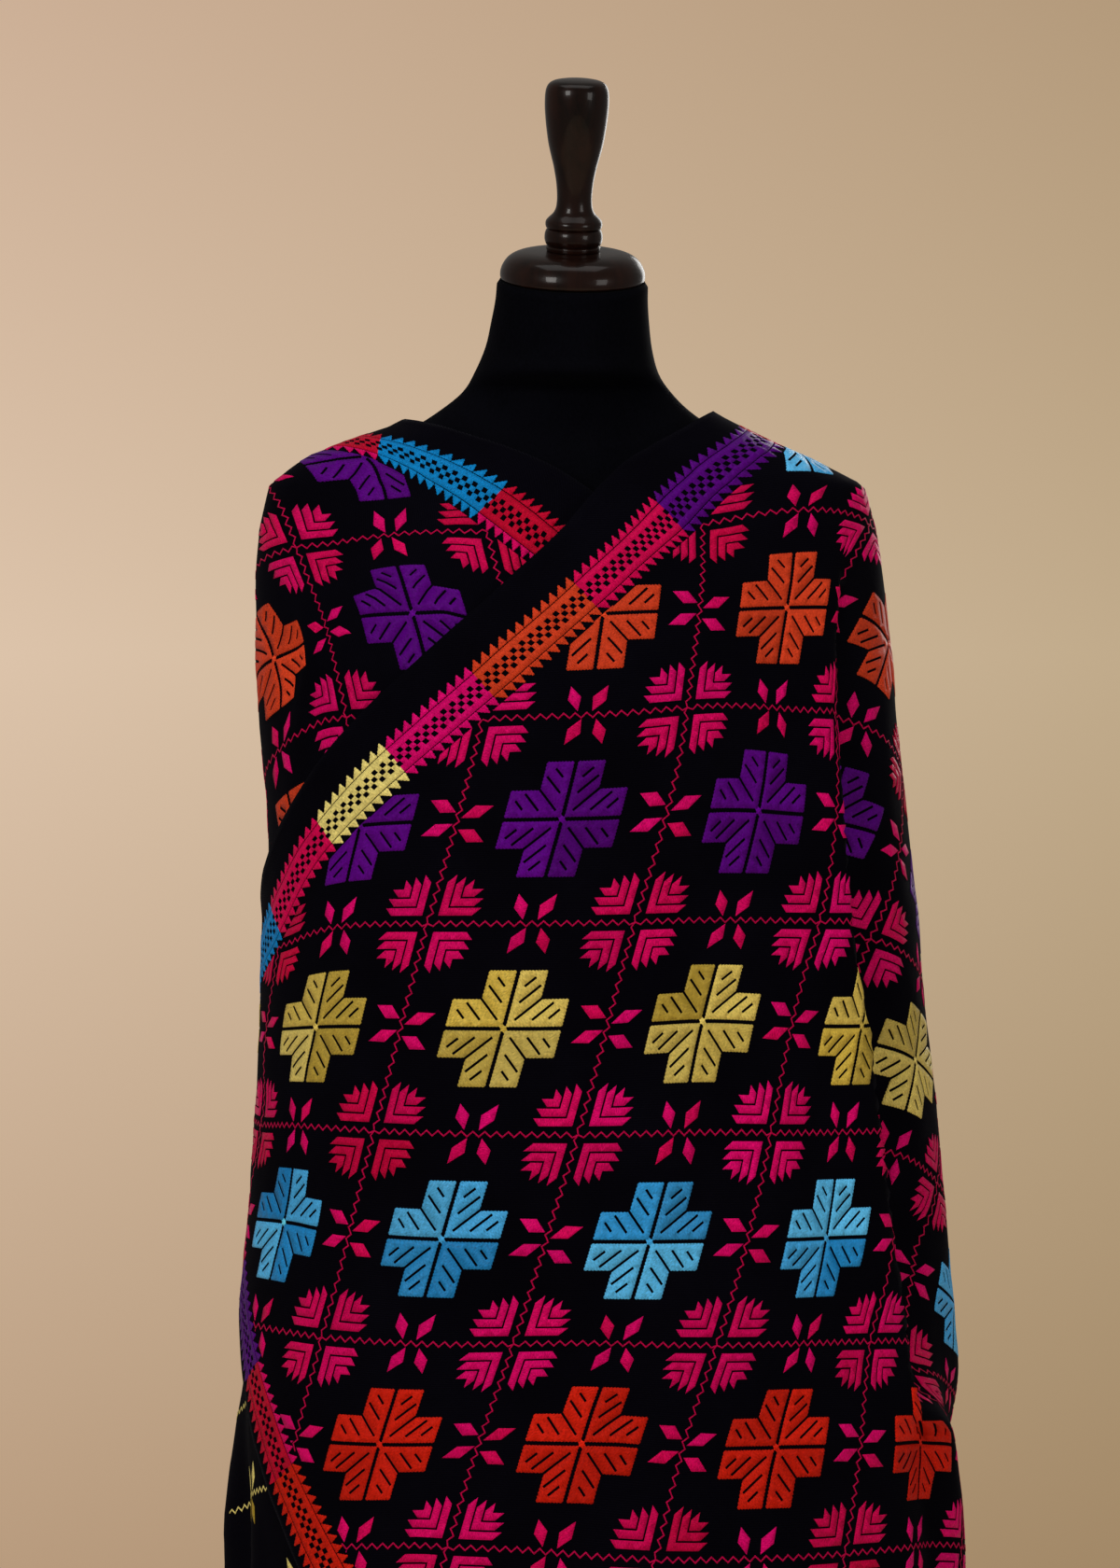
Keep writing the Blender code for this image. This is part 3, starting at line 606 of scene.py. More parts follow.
def crease(u, v):
    out = np.zeros(np.shape(u))
    for u0, v0, u1, v1, width, depth in CREASES:
        lu, lv = u1 - u0, v1 - v0
        length = math.hypot(lu, lv)
        t = ((u - u0) * lu + (v - v0) * lv) / length**2
        wander = 0.25 * width * np.sin(t * 7.0 + 40.0 * u0)
        off = ((u - u0) * -lv + (v - v0) * lu) / length - wander
        along = smooth(t, -0.12, 0.30) * (1.0 - smooth(t, 0.62, 1.15))
        out += depth * along * (np.exp(-((off / width) ** 2)) - 0.45 * np.exp(-((off / (2.1 * width)) ** 2)))
    out += 0.00045 * np.sin(u * 61.0 + 2.1 * np.sin(v * 23.0)) * np.sin(v * 53.0 + 1.7 * np.sin(u * 31.0))
    out += 0.00025 * np.sin(u * 133.0 + 1.3) * np.sin(v * 117.0 + 2.0 * np.sin(u * 47.0))
    return out


def steps(low, high, origin, step):
    first = math.ceil((low - origin) / step + 0.2)
    last = math.floor((high - origin) / step - 0.2)
    return np.array([low, *(origin + step * np.arange(first, last + 1)), high])


US = steps(*END, LATTICE_U, FINE_U)
VS = steps(*SIDE, LATTICE_V, FINE_V)


def settle():
    """The cloth's middle surface and its outward normals, on the fine grid."""
    uu, vv = np.meshgrid(US, VS, indexing="ij")
    pu, pv = pulled(uu, vv)
    p = cloth_point(pu, pv)
    for amount in (crease(uu, vv),):
        n = grid_normals(p)
        p = p + n * amount[..., None]
    return p, grid_normals(p)


def grid_normals(p):
    tu, tv = np.gradient(p, axis=0), np.gradient(p, axis=1)
    n = np.cross(tv, tu)
    return n / np.maximum(np.linalg.norm(n, axis=-1, keepdims=True), 1e-12)


P, N = settle()
SHELL = 0.0013  # the cloth's thickness


def hem(u, v):
    """Half the cloth's thickness: more in the narrow hem along each edge."""
    d = np.minimum(np.minimum(u - END[0], END[1] - u), np.minimum(v - SIDE[0], SIDE[1] - v))
    return SHELL / 2 + 0.0005 * (1.0 - smooth(d, 0.004, 0.0075))


def on_cloth(u, v, lift):
    """Points above the cloth's outer face, read from its own mesh."""
    i = np.clip(np.searchsorted(US, u, side="right") - 1, 0, len(US) - 2)
    j = np.clip(np.searchsorted(VS, v, side="right") - 1, 0, len(VS) - 2)
    s = (u - US[i]) / (US[i + 1] - US[i])
    t = (v - VS[j]) / (VS[j + 1] - VS[j])
    s, t = s[:, None], t[:, None]

    def read(f):
        return f[i, j] * (1 - s) * (1 - t) + f[i + 1, j] * s * (1 - t) + f[i, j + 1] * (1 - s) * t + f[i + 1, j + 1] * s * t

    n = read(N)
    n /= np.linalg.norm(n, axis=1, keepdims=True)
    half = read(HALF[..., None])
    return read(P) + n * (half + np.reshape(lift, (-1, 1)))


HALF = hem(*np.meshgrid(US, VS, indexing="ij"))


def mesh_object(name, points, faces, material, smooth_shade=True):
    """faces is a list of index arrays, each of faces with one count of corners."""
    me = bpy.data.meshes.new(name)
    counts = np.concatenate([np.full(len(f), f.shape[1]) for f in faces])
    corners = np.concatenate([f.ravel() for f in faces]).astype(np.int32)
    me.vertices.add(len(points))
    me.vertices.foreach_set("co", np.asarray(points, np.float32).ravel())
    me.loops.add(len(corners))
    me.loops.foreach_set("vertex_index", corners)
    me.polygons.add(len(counts))
    me.polygons.foreach_set("loop_start", np.r_[0, np.cumsum(counts)[:-1]].astype(np.int32))
    me.update(calc_edges=True)
    me.validate()
    if smooth_shade:
        me.shade_smooth()
    me.materials.append(material)
    ob = bpy.data.objects.new(name, me)
    SCENE.collection.objects.link(ob)
    return ob


def flat_map(me, name, per_vertex):
    """A UV map from one pair of numbers for each vertex."""
    layer = me.uv_layers.new(name=name)
    index = np.empty(len(me.loops), np.int32)
    me.loops.foreach_get("vertex_index", index)
    layer.data.foreach_set("uv", np.asarray(per_vertex, np.float32)[index].ravel())


def build_cloth(material):
    nu, nv = len(US), len(VS)
    outer, inner = P + N * HALF[..., None], P - N * HALF[..., None]
    points = np.concatenate([outer.reshape(-1, 3), inner.reshape(-1, 3)])
    k = np.arange(nu * nv).reshape(nu, nv)
    a, b, c, d = k[:-1, :-1].ravel(), k[:-1, 1:].ravel(), k[1:, 1:].ravel(), k[1:, :-1].ravel()
    m = nu * nv
    top = np.stack([a, b, c, d], 1)
    under = np.stack([a + m, d + m, c + m, b + m], 1)
    rim = []
    for line, flip in ((k[:, 0], False), (k[:, -1], True), (k[0, :], True), (k[-1, :], False)):
        p, q = line[:-1], line[1:]
        rim.append(np.stack([q, p, p + m, q + m] if flip else [p, q, q + m, p + m], 1))
    ob = mesh_object("shawl_cloth", points, [top, under, *rim], material)
    uu, vv = np.meshgrid(US, VS, indexing="ij")
    uv = np.stack([uu.ravel(), vv.ravel()], 1)
    flat_map(ob.data, "flat", np.concatenate([uv, uv]))
    return ob


# ================================================================ the pattern, charted flat
# a runs along the lattice's rows and b down its columns, each 1 for a side of the lattice.
# In half-repeats along and across the cloth, a = (1, 1) and b = (-1, 1).
FLOWER = 0.275  # half-size of the large flower, in sides
ARM = 0.50  # the rest in shares of the half-size: how broad each arm is
CROSS = 0.042  # half of the gap between its quarters
SLITS = [  # the open lines in a quarter: how far off its diagonal, from, to
    (0.00, 0.150, 0.530),
    (0.30, 0.150, 0.450),
    (-0.30, 0.150, 0.450),
    (0.56, 0.170, 0.330),
    (-0.56, 0.170, 0.330),
]
SLIT_WIDE = 0.00088  # half-width, metres
BARS = [  # the nested angles at a lattice point: corner, reach along a, reach along b
    (0.0400, 0.2380, 0.2380),
    (0.0855, 0.2360, 0.2270),
    (0.1310, 0.2240, 0.2140),
]
BAR_WIDE, BAR_CUT = 0.0370, 0.0360
PETALS_ROW = [  # small four-petal flowers on the rows: near tip, side, far tip, side
    ((0.022, -0.018), (0.0135, -0.089), (0.080, -0.142), (0.080, -0.066)),
    ((-0.048, -0.020), (-0.044, -0.0900), (-0.102, -0.144), (-0.106, -0.076)),
]
PETALS_COLUMN = [
    ((0.0155, -0.014), (0.071, -0.0735), (0.1585, -0.070), (0.1025, -0.0137)),
    ((0.0165, 0.0425), (0.094, 0.042), (0.1565, 0.105), (0.0755, 0.105)),
]
ZIG_COUNT, ZIG_HIGH, ZIG_WIDE = 18, 0.0018, 0.00050  # zigzags to a side, height, half-width

SERRATION = 0.0024  # the stitches' step along an edge, and how far they reach
SERRATED = 0.00055


def ab(p, q):
    """Half-repeats from sides along a and b."""
    return np.stack([np.asarray(p) - np.asarray(q), np.asarray(p) + np.asarray(q)], -1)


def metres(xy):
    return xy * np.array([CELL_U, CELL_V])


def serrate(outline, step=SERRATION, reach=SERRATED):
    """Saw the edges of a flat outline, in metres, as stitches' ends do."""
    out = []
    n = len(outline)
    area = 0.5 * sum(outline[i][0] * outline[(i + 1) % n][1] - outline[(i + 1) % n][0] * outline[i][1] for i in range(n))
    side = 1.0 if area > 0 else -1.0
    for i in range(n):
        p, q = outline[i], outline[(i + 1) % n]
        length = math.hypot(*(q - p))
        count = max(1, int(round(length / step)))
        normal = side * np.array([q[1] - p[1], p[0] - q[0]]) / length
        out.append(p)
        for k in range(count):
            if k:
                out.append(p + (q - p) * (k / count))
            out.append(p + (q - p) * ((k + 0.5) / count) + normal * reach)
    return np.array(out)


def strip(line, half):
    """The outline of a line of a given half-width."""
    line = np.asarray(line, float)
    d = np.diff(line, axis=0)
    d /= np.linalg.norm(d, axis=1, keepdims=True)
    n = np.stack([-d[:, 1], d[:, 0]], 1)
    miter = np.concatenate([n[:1], n[:-1] + n[1:], n[-1:]])
    k = np.ones(len(line))
    k[1:-1] = 2.0 / np.maximum((miter[1:-1] ** 2).sum(1), 0.5)
    miter = miter * k[:, None] * half
    return np.concatenate([line + miter, (line - miter)[::-1]])


class Shape:
    def __init__(self, outline, kind, thread, tone=0, item=(0.0, 0.0), part=0):
        self.outline = np.asarray(outline, float)  # metres
        self.kind, self.thread, self.tone, self.item, self.part = kind, thread, tone, item, part


ANGLE_A = math.atan2(CELL_V, CELL_U)
ANGLE_B = math.atan2(CELL_V, -CELL_U)


def flower_shapes(x, y):
    shapes, holes = [], []
    part = 0
    for sp, sq in ((-1, -1), (1, -1), (1, 1), (-1, 1)):
        corners = [(CROSS, CROSS), (1, CROSS), (1, ARM), (ARM, ARM), (ARM, 1), (CROSS, 1)]
        pq = np.array(corners) * FLOWER * np.array([sp, sq])
        along_v = sp == sq  # its open lines run across the cloth, its threads along it
        outline = metres(np.array([x, y]) + ab(pq[:, 0], pq[:, 1]))
        shapes.append(Shape(serrate(outline), "flower", 0.0 if along_v else math.pi / 2, part, (x, y), part))
        step = (SLIT_WIDE / CELL_U if along_v else SLIT_WIDE / CELL_V) / (2.0 * FLOWER)
        for off, t0, t1 in SLITS:
            lo = (t0, t0 + off) if off >= 0 else (t0 - off, t0)
            hi = (t1, t1 + off) if off >= 0 else (t1 - off, t1)
            slit = [(lo[0] - step, lo[1] + step), (hi[0] - step, hi[1] + step), (hi[0] + step, hi[1] - step), (lo[0] + step, lo[1] - step)]
            pq = np.array(slit) * FLOWER * np.array([sp, sq])
            holes.append(metres(np.array([x, y]) + ab(pq[:, 0], pq[:, 1])))
        part += 1
    t = np.arange(12) * math.pi / 6
    r = np.where(np.arange(12) % 2 == 0, 0.0029, 0.0019)
    knot = metres(np.array([[x, y]])) + np.stack([r * np.cos(t), r * np.sin(t)], 1)
    shapes.append(Shape(knot, "knot", 0.4, 0, (x, y), 4))
    return shapes, holes


def chevron_shapes(x, y):
    shapes = []
    part = 0
    for sp, sq in ((-1, -1), (1, -1), (1, 1), (-1, 1)):
        for d, ea, eb in BARS:
            w, cut = BAR_WIDE, BAR_CUT
            row = [(d, d), (ea - cut, d), (ea, d + w), (d + w, d + w)]
            column = [(d, d), (d + w, d + w), (d + w, eb), (d, eb - cut)]
            for arm, thread in ((row, ANGLE_B - 0.12), (column, ANGLE_A + 0.12)):
                pq = np.array(arm) * np.array([sp, sq])
                outline = metres(np.array([x, y]) + ab(pq[:, 0], pq[:, 1]))
                shapes.append(Shape(outline, "chevron", thread, part, (x, y), part))
        part += 1
    return shapes


def petal_shapes(x, y, petals, thread):
    shapes = []
    for k, petal in enumerate(petals):
        for sign in (1, -1):
            pq = np.array(petal) * sign
            outline = metres(np.array([x, y]) + ab(pq[:, 0], pq[:, 1]))
            shapes.append(Shape(outline, "petal", thread + 0.3 * (k - 0.5), k, (x, y), 2 * k + (sign < 0)))
    return shapes


def zigzag_shape(x, y, toward, part):
    """One side of the lattice, from a lattice point."""
    end = np.array([x, y]) + np.array(toward)
    p, q = metres(np.array([x, y])), metres(end)
    d = q - p
    n = np.array([-d[1], d[0]]) / np.linalg.norm(d)
    t = np.arange(0, 2 * ZIG_COUNT + 1) / (2 * ZIG_COUNT)
    high = np.where(np.arange(len(t)) % 2 == 0, -1.0, 1.0) * ZIG_HIGH
    high[0] = high[-1] = 0.0
    line = p + d * t[:, None] + n * high[:, None]
    return Shape(strip(line, ZIG_WIDE), "zigzag", math.atan2(d[1], d[0]), 0, (x + 0.5 * toward[0], y + 0.5 * toward[1]), part)


def cut_tile(shapes, holes, u_lines, v_lines):
    """Triangles of the shapes, cut along the cloth's own mesh lines: points, corners, shape of each."""
    scale = 1000.0
    verts, edges, faces = [], [], []

    def put(points):
        first = len(verts)
        verts.extend(Vector((float(x) * scale, float(y) * scale)) for x, y in points)
        return list(range(first, len(verts)))

    def facing_up(outline):
        x, y = outline[:, 0], outline[:, 1]
        return outline if (x * np.roll(y, -1) - np.roll(x, -1) * y).sum() > 0 else outline[::-1]

    for outline in [s.outline for s in shapes] + holes:
        faces.append(put(facing_up(outline)))
    u0, u1, v0, v1 = u_lines[0], u_lines[-1], v_lines[0], v_lines[-1]
    for u in u_lines:
        edges.append(tuple(put([(u, v0), (u, v1)])))
    for v in v_lines:
        edges.append(tuple(put([(u0, v), (u1, v)])))
    co, _, tri, _, _, where = delaunay_2d_cdt(verts, edges, faces, 0, 1e-5, True)
    co = np.array([(p[0], p[1]) for p in co]) / scale
    rank = {"knot": 0, "flower": 1, "petal": 2, "chevron": 3, "zigzag": 4, "tooth": 1, "body": 1}
    kept, owner = [], []
    for t, inside in zip(tri, where):
        knots = [k for k in inside if k < len(shapes) and shapes[k].kind == "knot"]
        if not knots and (not inside or max(inside) >= len(shapes)):
            continue
        kept.append(t[:3])
        owner.append(min(knots or inside, key=lambda k: rank[shapes[k].kind]))
    kept, owner = np.array(kept), np.array(owner)
    mid = co[kept].mean(1)
    inside = (mid[:, 0] > u0) & (mid[:, 0] < u1) & (mid[:, 1] > v0) & (mid[:, 1] < v1)
    kept, owner = kept[inside], owner[inside]
    a, b, c = co[kept[:, 0]], co[kept[:, 1]], co[kept[:, 2]]
    area = 0.5 * ((b[:, 0] - a[:, 0]) * (c[:, 1] - a[:, 1]) - (c[:, 0] - a[:, 0]) * (b[:, 1] - a[:, 1]))
    kept[area < 0] = kept[area < 0][:, ::-1]
    good = np.abs(area) > 1e-11
    return co, kept[good], owner[good]


class Stitching:
    """Flat triangles of one colour family, gathered before they're laid on the cloth."""

    def __init__(self):
        self.points, self.tris, self.colour, self.thread, self.lift = [], [], [], [], []
        self.count = 0

    def add(self, points, tris, colour, thread, lift):
        self.points.append(points)
        self.tris.append(tris + self.count)
        self.colour.append(colour)
        self.thread.append(thread)
        self.lift.append(lift)
        self.count += len(points)


def srgb(r, g, b):
    c = np.array([r, g, b], float) / 255.0
    return np.where(c <= 0.04045, c / 12.92, ((c + 0.055) / 1.055) ** 2.4)


INK = {
    "pink": srgb(208, 4, 78),
    "magenta": srgb(214, 4, 106),
    "crimson": srgb(188, 4, 44),
    "purple": srgb(82, 2, 120),
    "orange": srgb(206, 62, 30),
    "ember": srgb(198, 30, 12),
    "gold": srgb(188, 158, 54),
    # pale thread; on the gold flowers it is also mixed in as painted sheen
    "pale": srgb(236, 218, 128),
    "blue": srgb(6, 128, 198),
    # light blue, used only as painted sheen on the blue flowers
    "blue_sheen": srgb(104, 206, 255),
}


def jitter(*key):
    """A steady number from -1 to 1 for a place in the pattern."""
    h = 0
    for k in key:
        h = (h * 1103515245 + int(round(k * 2)) * 12345 + 40503) & 0x7FFFFFFF
        h ^= h >> 11
    return ((h * 2654435761) & 0xFFFF) / 32767.5 - 1.0


ROW_INK = {-5: "blue", -4: "gold", -3: "purple", -2: "orange", -1: "blue", 0: "orange", 1: "purple", 2: "gold", 3: "blue", 4: "ember", 5: "purple"}


def row_ink(r):
    """Thread of a row of flowers, r a half-integer."""
    k = math.floor(r)
    if k in ROW_INK:
        return ROW_INK[k]
    cycle = ["ember", "purple", "gold", "blue"]
    return cycle[(k - 4) % 4]


def lattice_ink(kind, x, y, part):
    """Colour of one part of a motif at lattice place x, y (half-repeats)."""
    c, r = (x + y) / 2, (y - x) / 2
    j, j2 = jitter(x, y, part), jitter(x + 3, y - 1, part + 5)
    if kind in ("flower", "knot"):
        name = row_ink(r)
        base = INK[name]
        # Each quarter is lighter or darker by a steady random amount, and gold and blue quarters are mixed towards pale
        # gold and light blue: partly the thread's own uneven tone, partly painted sheen of threads that lie in
        # different directions.
        if name == "gold":
            base = INK["gold"] * (1 - 0.55 * (0.5 + 0.5 * j2)) + INK["pale"] * 0.55 * (0.5 + 0.5 * j2)
        if name == "blue":
            base = INK["blue"] * (1 - 0.75 * (0.5 + 0.5 * j2)) + INK["blue_sheen"] * 0.75 * (0.5 + 0.5 * j2)
        if kind == "knot":
            base = base * 1.25
        return base * (1.0 + 0.20 * j)
    if c > 6.6 and kind in ("petal", "zigzag", "chevron"):
        return INK["pale"] * (0.9 + 0.1 * j)
    mix = 0.5 + 0.5 * j
    if kind == "zigzag":
        return INK["pink"] * 0.72
    if kind == "petal":
        return (INK["pink"] * (1 - mix) + INK["magenta"] * mix) * (1.0 + 0.08 * j2)
    whole = 0.5 + 0.5 * jitter(x, y, 77)
    tone = 0.65 * whole + 0.35 * mix
    base = INK["crimson"] * (1 - tone) + INK["magenta"] * tone
    return base * (1.0 + 0.10 * j2)


# On the stretch that hangs lowest at -X the lattice has a gap, with one gold motif on a crossways line
GAP_FLOWERS = {(8, 7), (7, 8)}
GAP_CHEVRONS = {(7, 7), (8, 8)}
GAP_LINES = {(6, 6, 0), (7, 7, 0), (8, 8, 0), (7, 7, 1), (8, 6, 1)}
GAP_PETALS = {(15, 15), (15, 13), (13, 15)}  # doubled places
GAP_MOTIF = (7.5, 7.5)


def left_out(kind, x, y, part):
    if kind in ("flower", "knot"):
        return (round(x), round(y)) in GAP_FLOWERS
    if kind == "chevron":
        return (round(x), round(y)) in GAP_CHEVRONS
    if kind == "zigzag":
        return (round(x), round(y), part) in GAP_LINES
    return (round(2 * x), round(2 * y)) in GAP_PETALS


def lay_gap_motif(families):
    """The gold motif: four diamonds about a short crossways zigzag."""
    i, j = 3, 3
    x, y = GAP_MOTIF[0] - 2 * i, GAP_MOTIF[1] - 2 * j
    shapes = [zigzag_shape(x + 0.5, y - 0.5, (-1, 1), 1), *petal_shapes(x, y, PETALS_COLUMN, ANGLE_B)]
    co, tris, owner = cut_tile(shapes, [], tidy([FINE_U * k for k in range(33)]), tidy([FINE_V * k for k in range(29)]))
    points = co + np.array([LATTICE_U + 2 * i * CELL_U, LATTICE_V + 2 * j * CELL_V])
    for k in np.unique(owner[owner >= 0]):
        s = shapes[k]
        # Alternate petals pale and the rest dark gold: painted sheen of one gold floss whose threads lie in different
        # directions.
        colour = INK["pale"] * 0.95 if s.kind == "zigzag" or s.part % 2 else INK["gold"] * 0.75
        families.setdefault("zigzags" if s.kind == "zigzag" else "petals", []).append((i, j + 100, k, points, tris[owner == k], colour, s.thread, FLOSS))


def lattice_tile():
    shapes, holes = [], []
    for x in np.arange(-1, 3.6, 0.5):
        for y in np.arange(-1, 3.6, 0.5):
            whole = abs(x - round(x)) < 1e-6 and abs(y - round(y)) < 1e-6
            if whole and (int(round(x)) + int(round(y))) % 2 == 0:
                shapes += chevron_shapes(x, y)
                shapes.append(zigzag_shape(x, y, (1, 1), 0))
                shapes.append(zigzag_shape(x, y, (-1, 1), 1))
            elif whole:
                s, h = flower_shapes(x, y)
                shapes += s
                holes += h
            elif abs(x - round(x)) > 0.4 and abs(y - round(y)) > 0.4:
                row = abs((y - x) / 2 - round((y - x) / 2)) < 1e-6
                if row:
                    shapes += petal_shapes(x, y, PETALS_ROW, ANGLE_A)
                else:
                    shapes += petal_shapes(x, y, PETALS_COLUMN, ANGLE_B)
    shapes = [s for s in shapes if s.outline[:, 0].max() > 0 and s.outline[:, 0].min() < 2 * CELL_U and s.outline[:, 1].max() > 0 and s.outline[:, 1].min() < 2 * CELL_V]
    holes = [h for h in holes if h[:, 0].max() > 0 and h[:, 0].min() < 2 * CELL_U and h[:, 1].max() > 0 and h[:, 1].min() < 2 * CELL_V]
    u_lines = [FINE_U * k for k in range(33)]
    v_lines = [FINE_V * k for k in range(29)]
    for u in LIMIT_U:
        u_lines.append((u - LATTICE_U) % (2 * CELL_U))
    for v in LIMIT_V:
        v_lines.append((v - LATTICE_V) % (2 * CELL_V))
    u_lines, v_lines = tidy(u_lines), tidy(v_lines)
    return shapes, *cut_tile(shapes, holes, u_lines, v_lines)


def tidy(values):
    """Sorted, with near-equal values dropped."""
    out = []
    for v in sorted(values):
        if not out or v - out[-1] > 2e-4:
            out.append(v)
    return out


LIMIT_U = (0.064, 2.030)
LIMIT_V = (0.064, 0.936)
FLOSS = 0.00034  # how far the floss stands off the cloth


def lay_lattice(families):
    shapes, co, tris, owner = lattice_tile()
    kinds = np.array([s.kind for s in shapes])
    for i in range(-4, 7):
        for j in range(-1, 6):
            shift = np.array([LATTICE_U + 2 * i * CELL_U, LATTICE_V + 2 * j * CELL_V])
            points = co + shift
            mid = points[tris].mean(1)
            keep = (mid[:, 0] > LIMIT_U[0]) & (mid[:, 0] < LIMIT_U[1]) & (mid[:, 1] > LIMIT_V[0]) & (mid[:, 1] < LIMIT_V[1])
            if not keep.any():
                continue
            for k in np.unique(owner[keep]):
                s = shapes[k]
                x, y = s.item[0] + 2 * i, s.item[1] + 2 * j
                if left_out(s.kind, x, y, s.part):
                    continue
                colour = lattice_ink(s.kind, x, y, s.part)
                if s.kind in ("flower", "knot"):
                    family = "flowers_" + row_ink((y - x) / 2)
                elif s.kind == "zigzag":
                    family = "zigzags"
                else:
                    family = s.kind + "s"
                lift = FLOSS * (1.15 if s.kind == "knot" else 0.8 if s.kind == "zigzag" else 1.0)
                families.setdefault(family, []).append((i, j, k, points, tris[keep & (owner == k)], colour, s.thread, lift))


# ---------------------------------------------------------------- the border
TEETH = 0.0069
LINE = 0.0009
BAND = (0.0270, 0.0640)  # from the tips of the outer teeth to the tips of the inner
CHECK_A = np.array([0.00500, 0.00395])  # from one small diamond to the next, two ways
CHECK_B = np.array([-0.00332, 0.00415])


def band_shapes(pitch, count, first, last):
    """One stretch of the border, along s from 0, inward w: shapes and holes."""
    shapes, holes = [], []
    low, high = BAND[0] + TEETH, BAND[1] - TEETH
    for k in range(first, last):
        s = k * pitch
        teeth = [
            [(s + 0.02 * pitch, low), (s + 0.80 * pitch, BAND[0]), (s + 0.98 * pitch, low)],
            [(s + 0.02 * pitch, high), (s + 0.98 * pitch, high), (s + 0.86 * pitch, BAND[1])],
        ]
        for side, tooth in enumerate(teeth):
            shapes.append(Shape(serrate(np.array(tooth), 0.0022, 0.0004), "tooth", math.pi / 2, side, (k, 0), side))
        body = [(s, low + LINE), (s + pitch, low + LINE), (s + pitch, high - LINE), (s, high - LINE)]
        shapes.append(Shape(np.array(body), "body", math.pi / 2, 2, (k, 0), 2))
        centre = np.array([s + 0.5 * pitch, (low + high) / 2])
        for step in (-1, 0, 1):
            c = centre + step * (CHECK_A if step > 0 else -CHECK_B if step < 0 else CHECK_A) * (1 if step >= 0 else 1)
            if step == -1:
                c = centre - CHECK_A
            diamond = [c + 0.47 * CHECK_A, c + 0.47 * CHECK_B, c - 0.47 * CHECK_A, c - 0.47 * CHECK_B]
            holes.append(np.array(diamond))
    return shapes, holes


LONG_INK = [  # where each colour of the long border ends, along u
    (0.165, "pink"), (0.250, "blue"), (0.338, "pink"), (0.412, "pale"), (0.496, "magenta"),
    (0.594, "orange"), (0.695, "pink"), (0.805, "purple"), (0.893, "crimson"), (0.975, "gold"),
    (1.060, "pink"), (1.145, "blue"), (1.228, "pink"), (1.303, "crimson"), (1.389, "blue"),
    (1.505, "crimson"), (1.590, "purple"), (1.680, "pink"), (1.765, "orange"), (1.850, "magenta"),
    (1.935, "gold"), (2.100, "pink"),
]
SHORT_INK = [  # and of the short border, along v
    (0.143, "pink"), (0.228, "crimson"), (0.314, "purple"), (0.396, "crimson"), (0.490, "ember"),
    (0.580, "pink"), (0.670, "gold"), (0.760, "magenta"), (0.850, "blue"), (1.100, "crimson"),
]


def segment(table, s):
    for end, name in table:
        if s < end:
            return name
    return table[-1][1]


def lay_band(families, side):
    """side: which edge the border runs along."""
    long_side = side in ("v0", "v1")
    cell, count = (CELL_U, 14) if long_side else (CELL_V, 11)
    pitch = cell / count
    shapes, holes = band_shapes(pitch, count, -2, count + 2)
    origin = LATTICE_U if long_side else LATTICE_V
    start, stop = (BAND[0], 2.094 - BAND[0]) if long_side else (BAND[1], 1.0 - BAND[1])
    fine = FINE_U if long_side else FINE_V
    across = {"v0": VS, "v1": 1.0 - VS[::-1], "u0": US, "u1": (2.094 - US)[::-1]}[side]
    w_lines = tidy([BAND[0] - 0.0005, *[w for w in across if BAND[0] < w < BAND[1] + 0.0004], BAND[1] + 0.0006])
    s_lines = [fine * k for k in range(int(round(cell / fine)) + 1)]
    for end in (start, stop):
        s_lines.append((end - origin) % cell)
    s_lines = tidy(s_lines)
    co, tris, owner = cut_tile(shapes, holes, s_lines, w_lines)
    first = math.floor((start - origin) / cell)
    last = math.ceil((stop - origin) / cell)
    table = LONG_INK if long_side else SHORT_INK
    for i in range(first, last):
        flat = co + np.array([origin + i * cell, 0.0])
        mid = flat[tris].mean(1)
        keep = (mid[:, 0] > start) & (mid[:, 0] < stop)
        if side == "v0":
            points = flat
        elif side == "v1":
            points = np.stack([flat[:, 0], 1.0 - flat[:, 1]], 1)
        elif side == "u0":
            points = np.stack([flat[:, 1], flat[:, 0]], 1)
        else:
            points = np.stack([2.094 - flat[:, 1], flat[:, 0]], 1)
        for k in np.unique(owner[keep]):
            s = shapes[k]
            where = origin + i * cell + (s.item[0] + 0.5) * pitch
            if side == "v1":
                where = (where + 0.37) % 2.05
            if side == "u1":
                where = 1.0 - where
            name = segment(table, where)
            base = INK[name]
            if name == "crimson" and s.kind == "tooth" and s.part == 1:
                base = INK["magenta"] * 0.55 + INK["pink"] * 0.45
            if s.kind == "body":
                base = base * 0.94
            colour = base * (1.0 + 0.07 * jitter(s.item[0] + i * 14, s.part, 3))
            thread = s.thread if long_side else 0.0
            ids = tris[keep & (owner == k)]
            if side in ("v1", "u0"):
                ids = ids[:, ::-1]
            if side == "u1":
                pass
            families.setdefault("border_" + side, []).append((i, 0, k, points, ids, colour, thread, FLOSS))


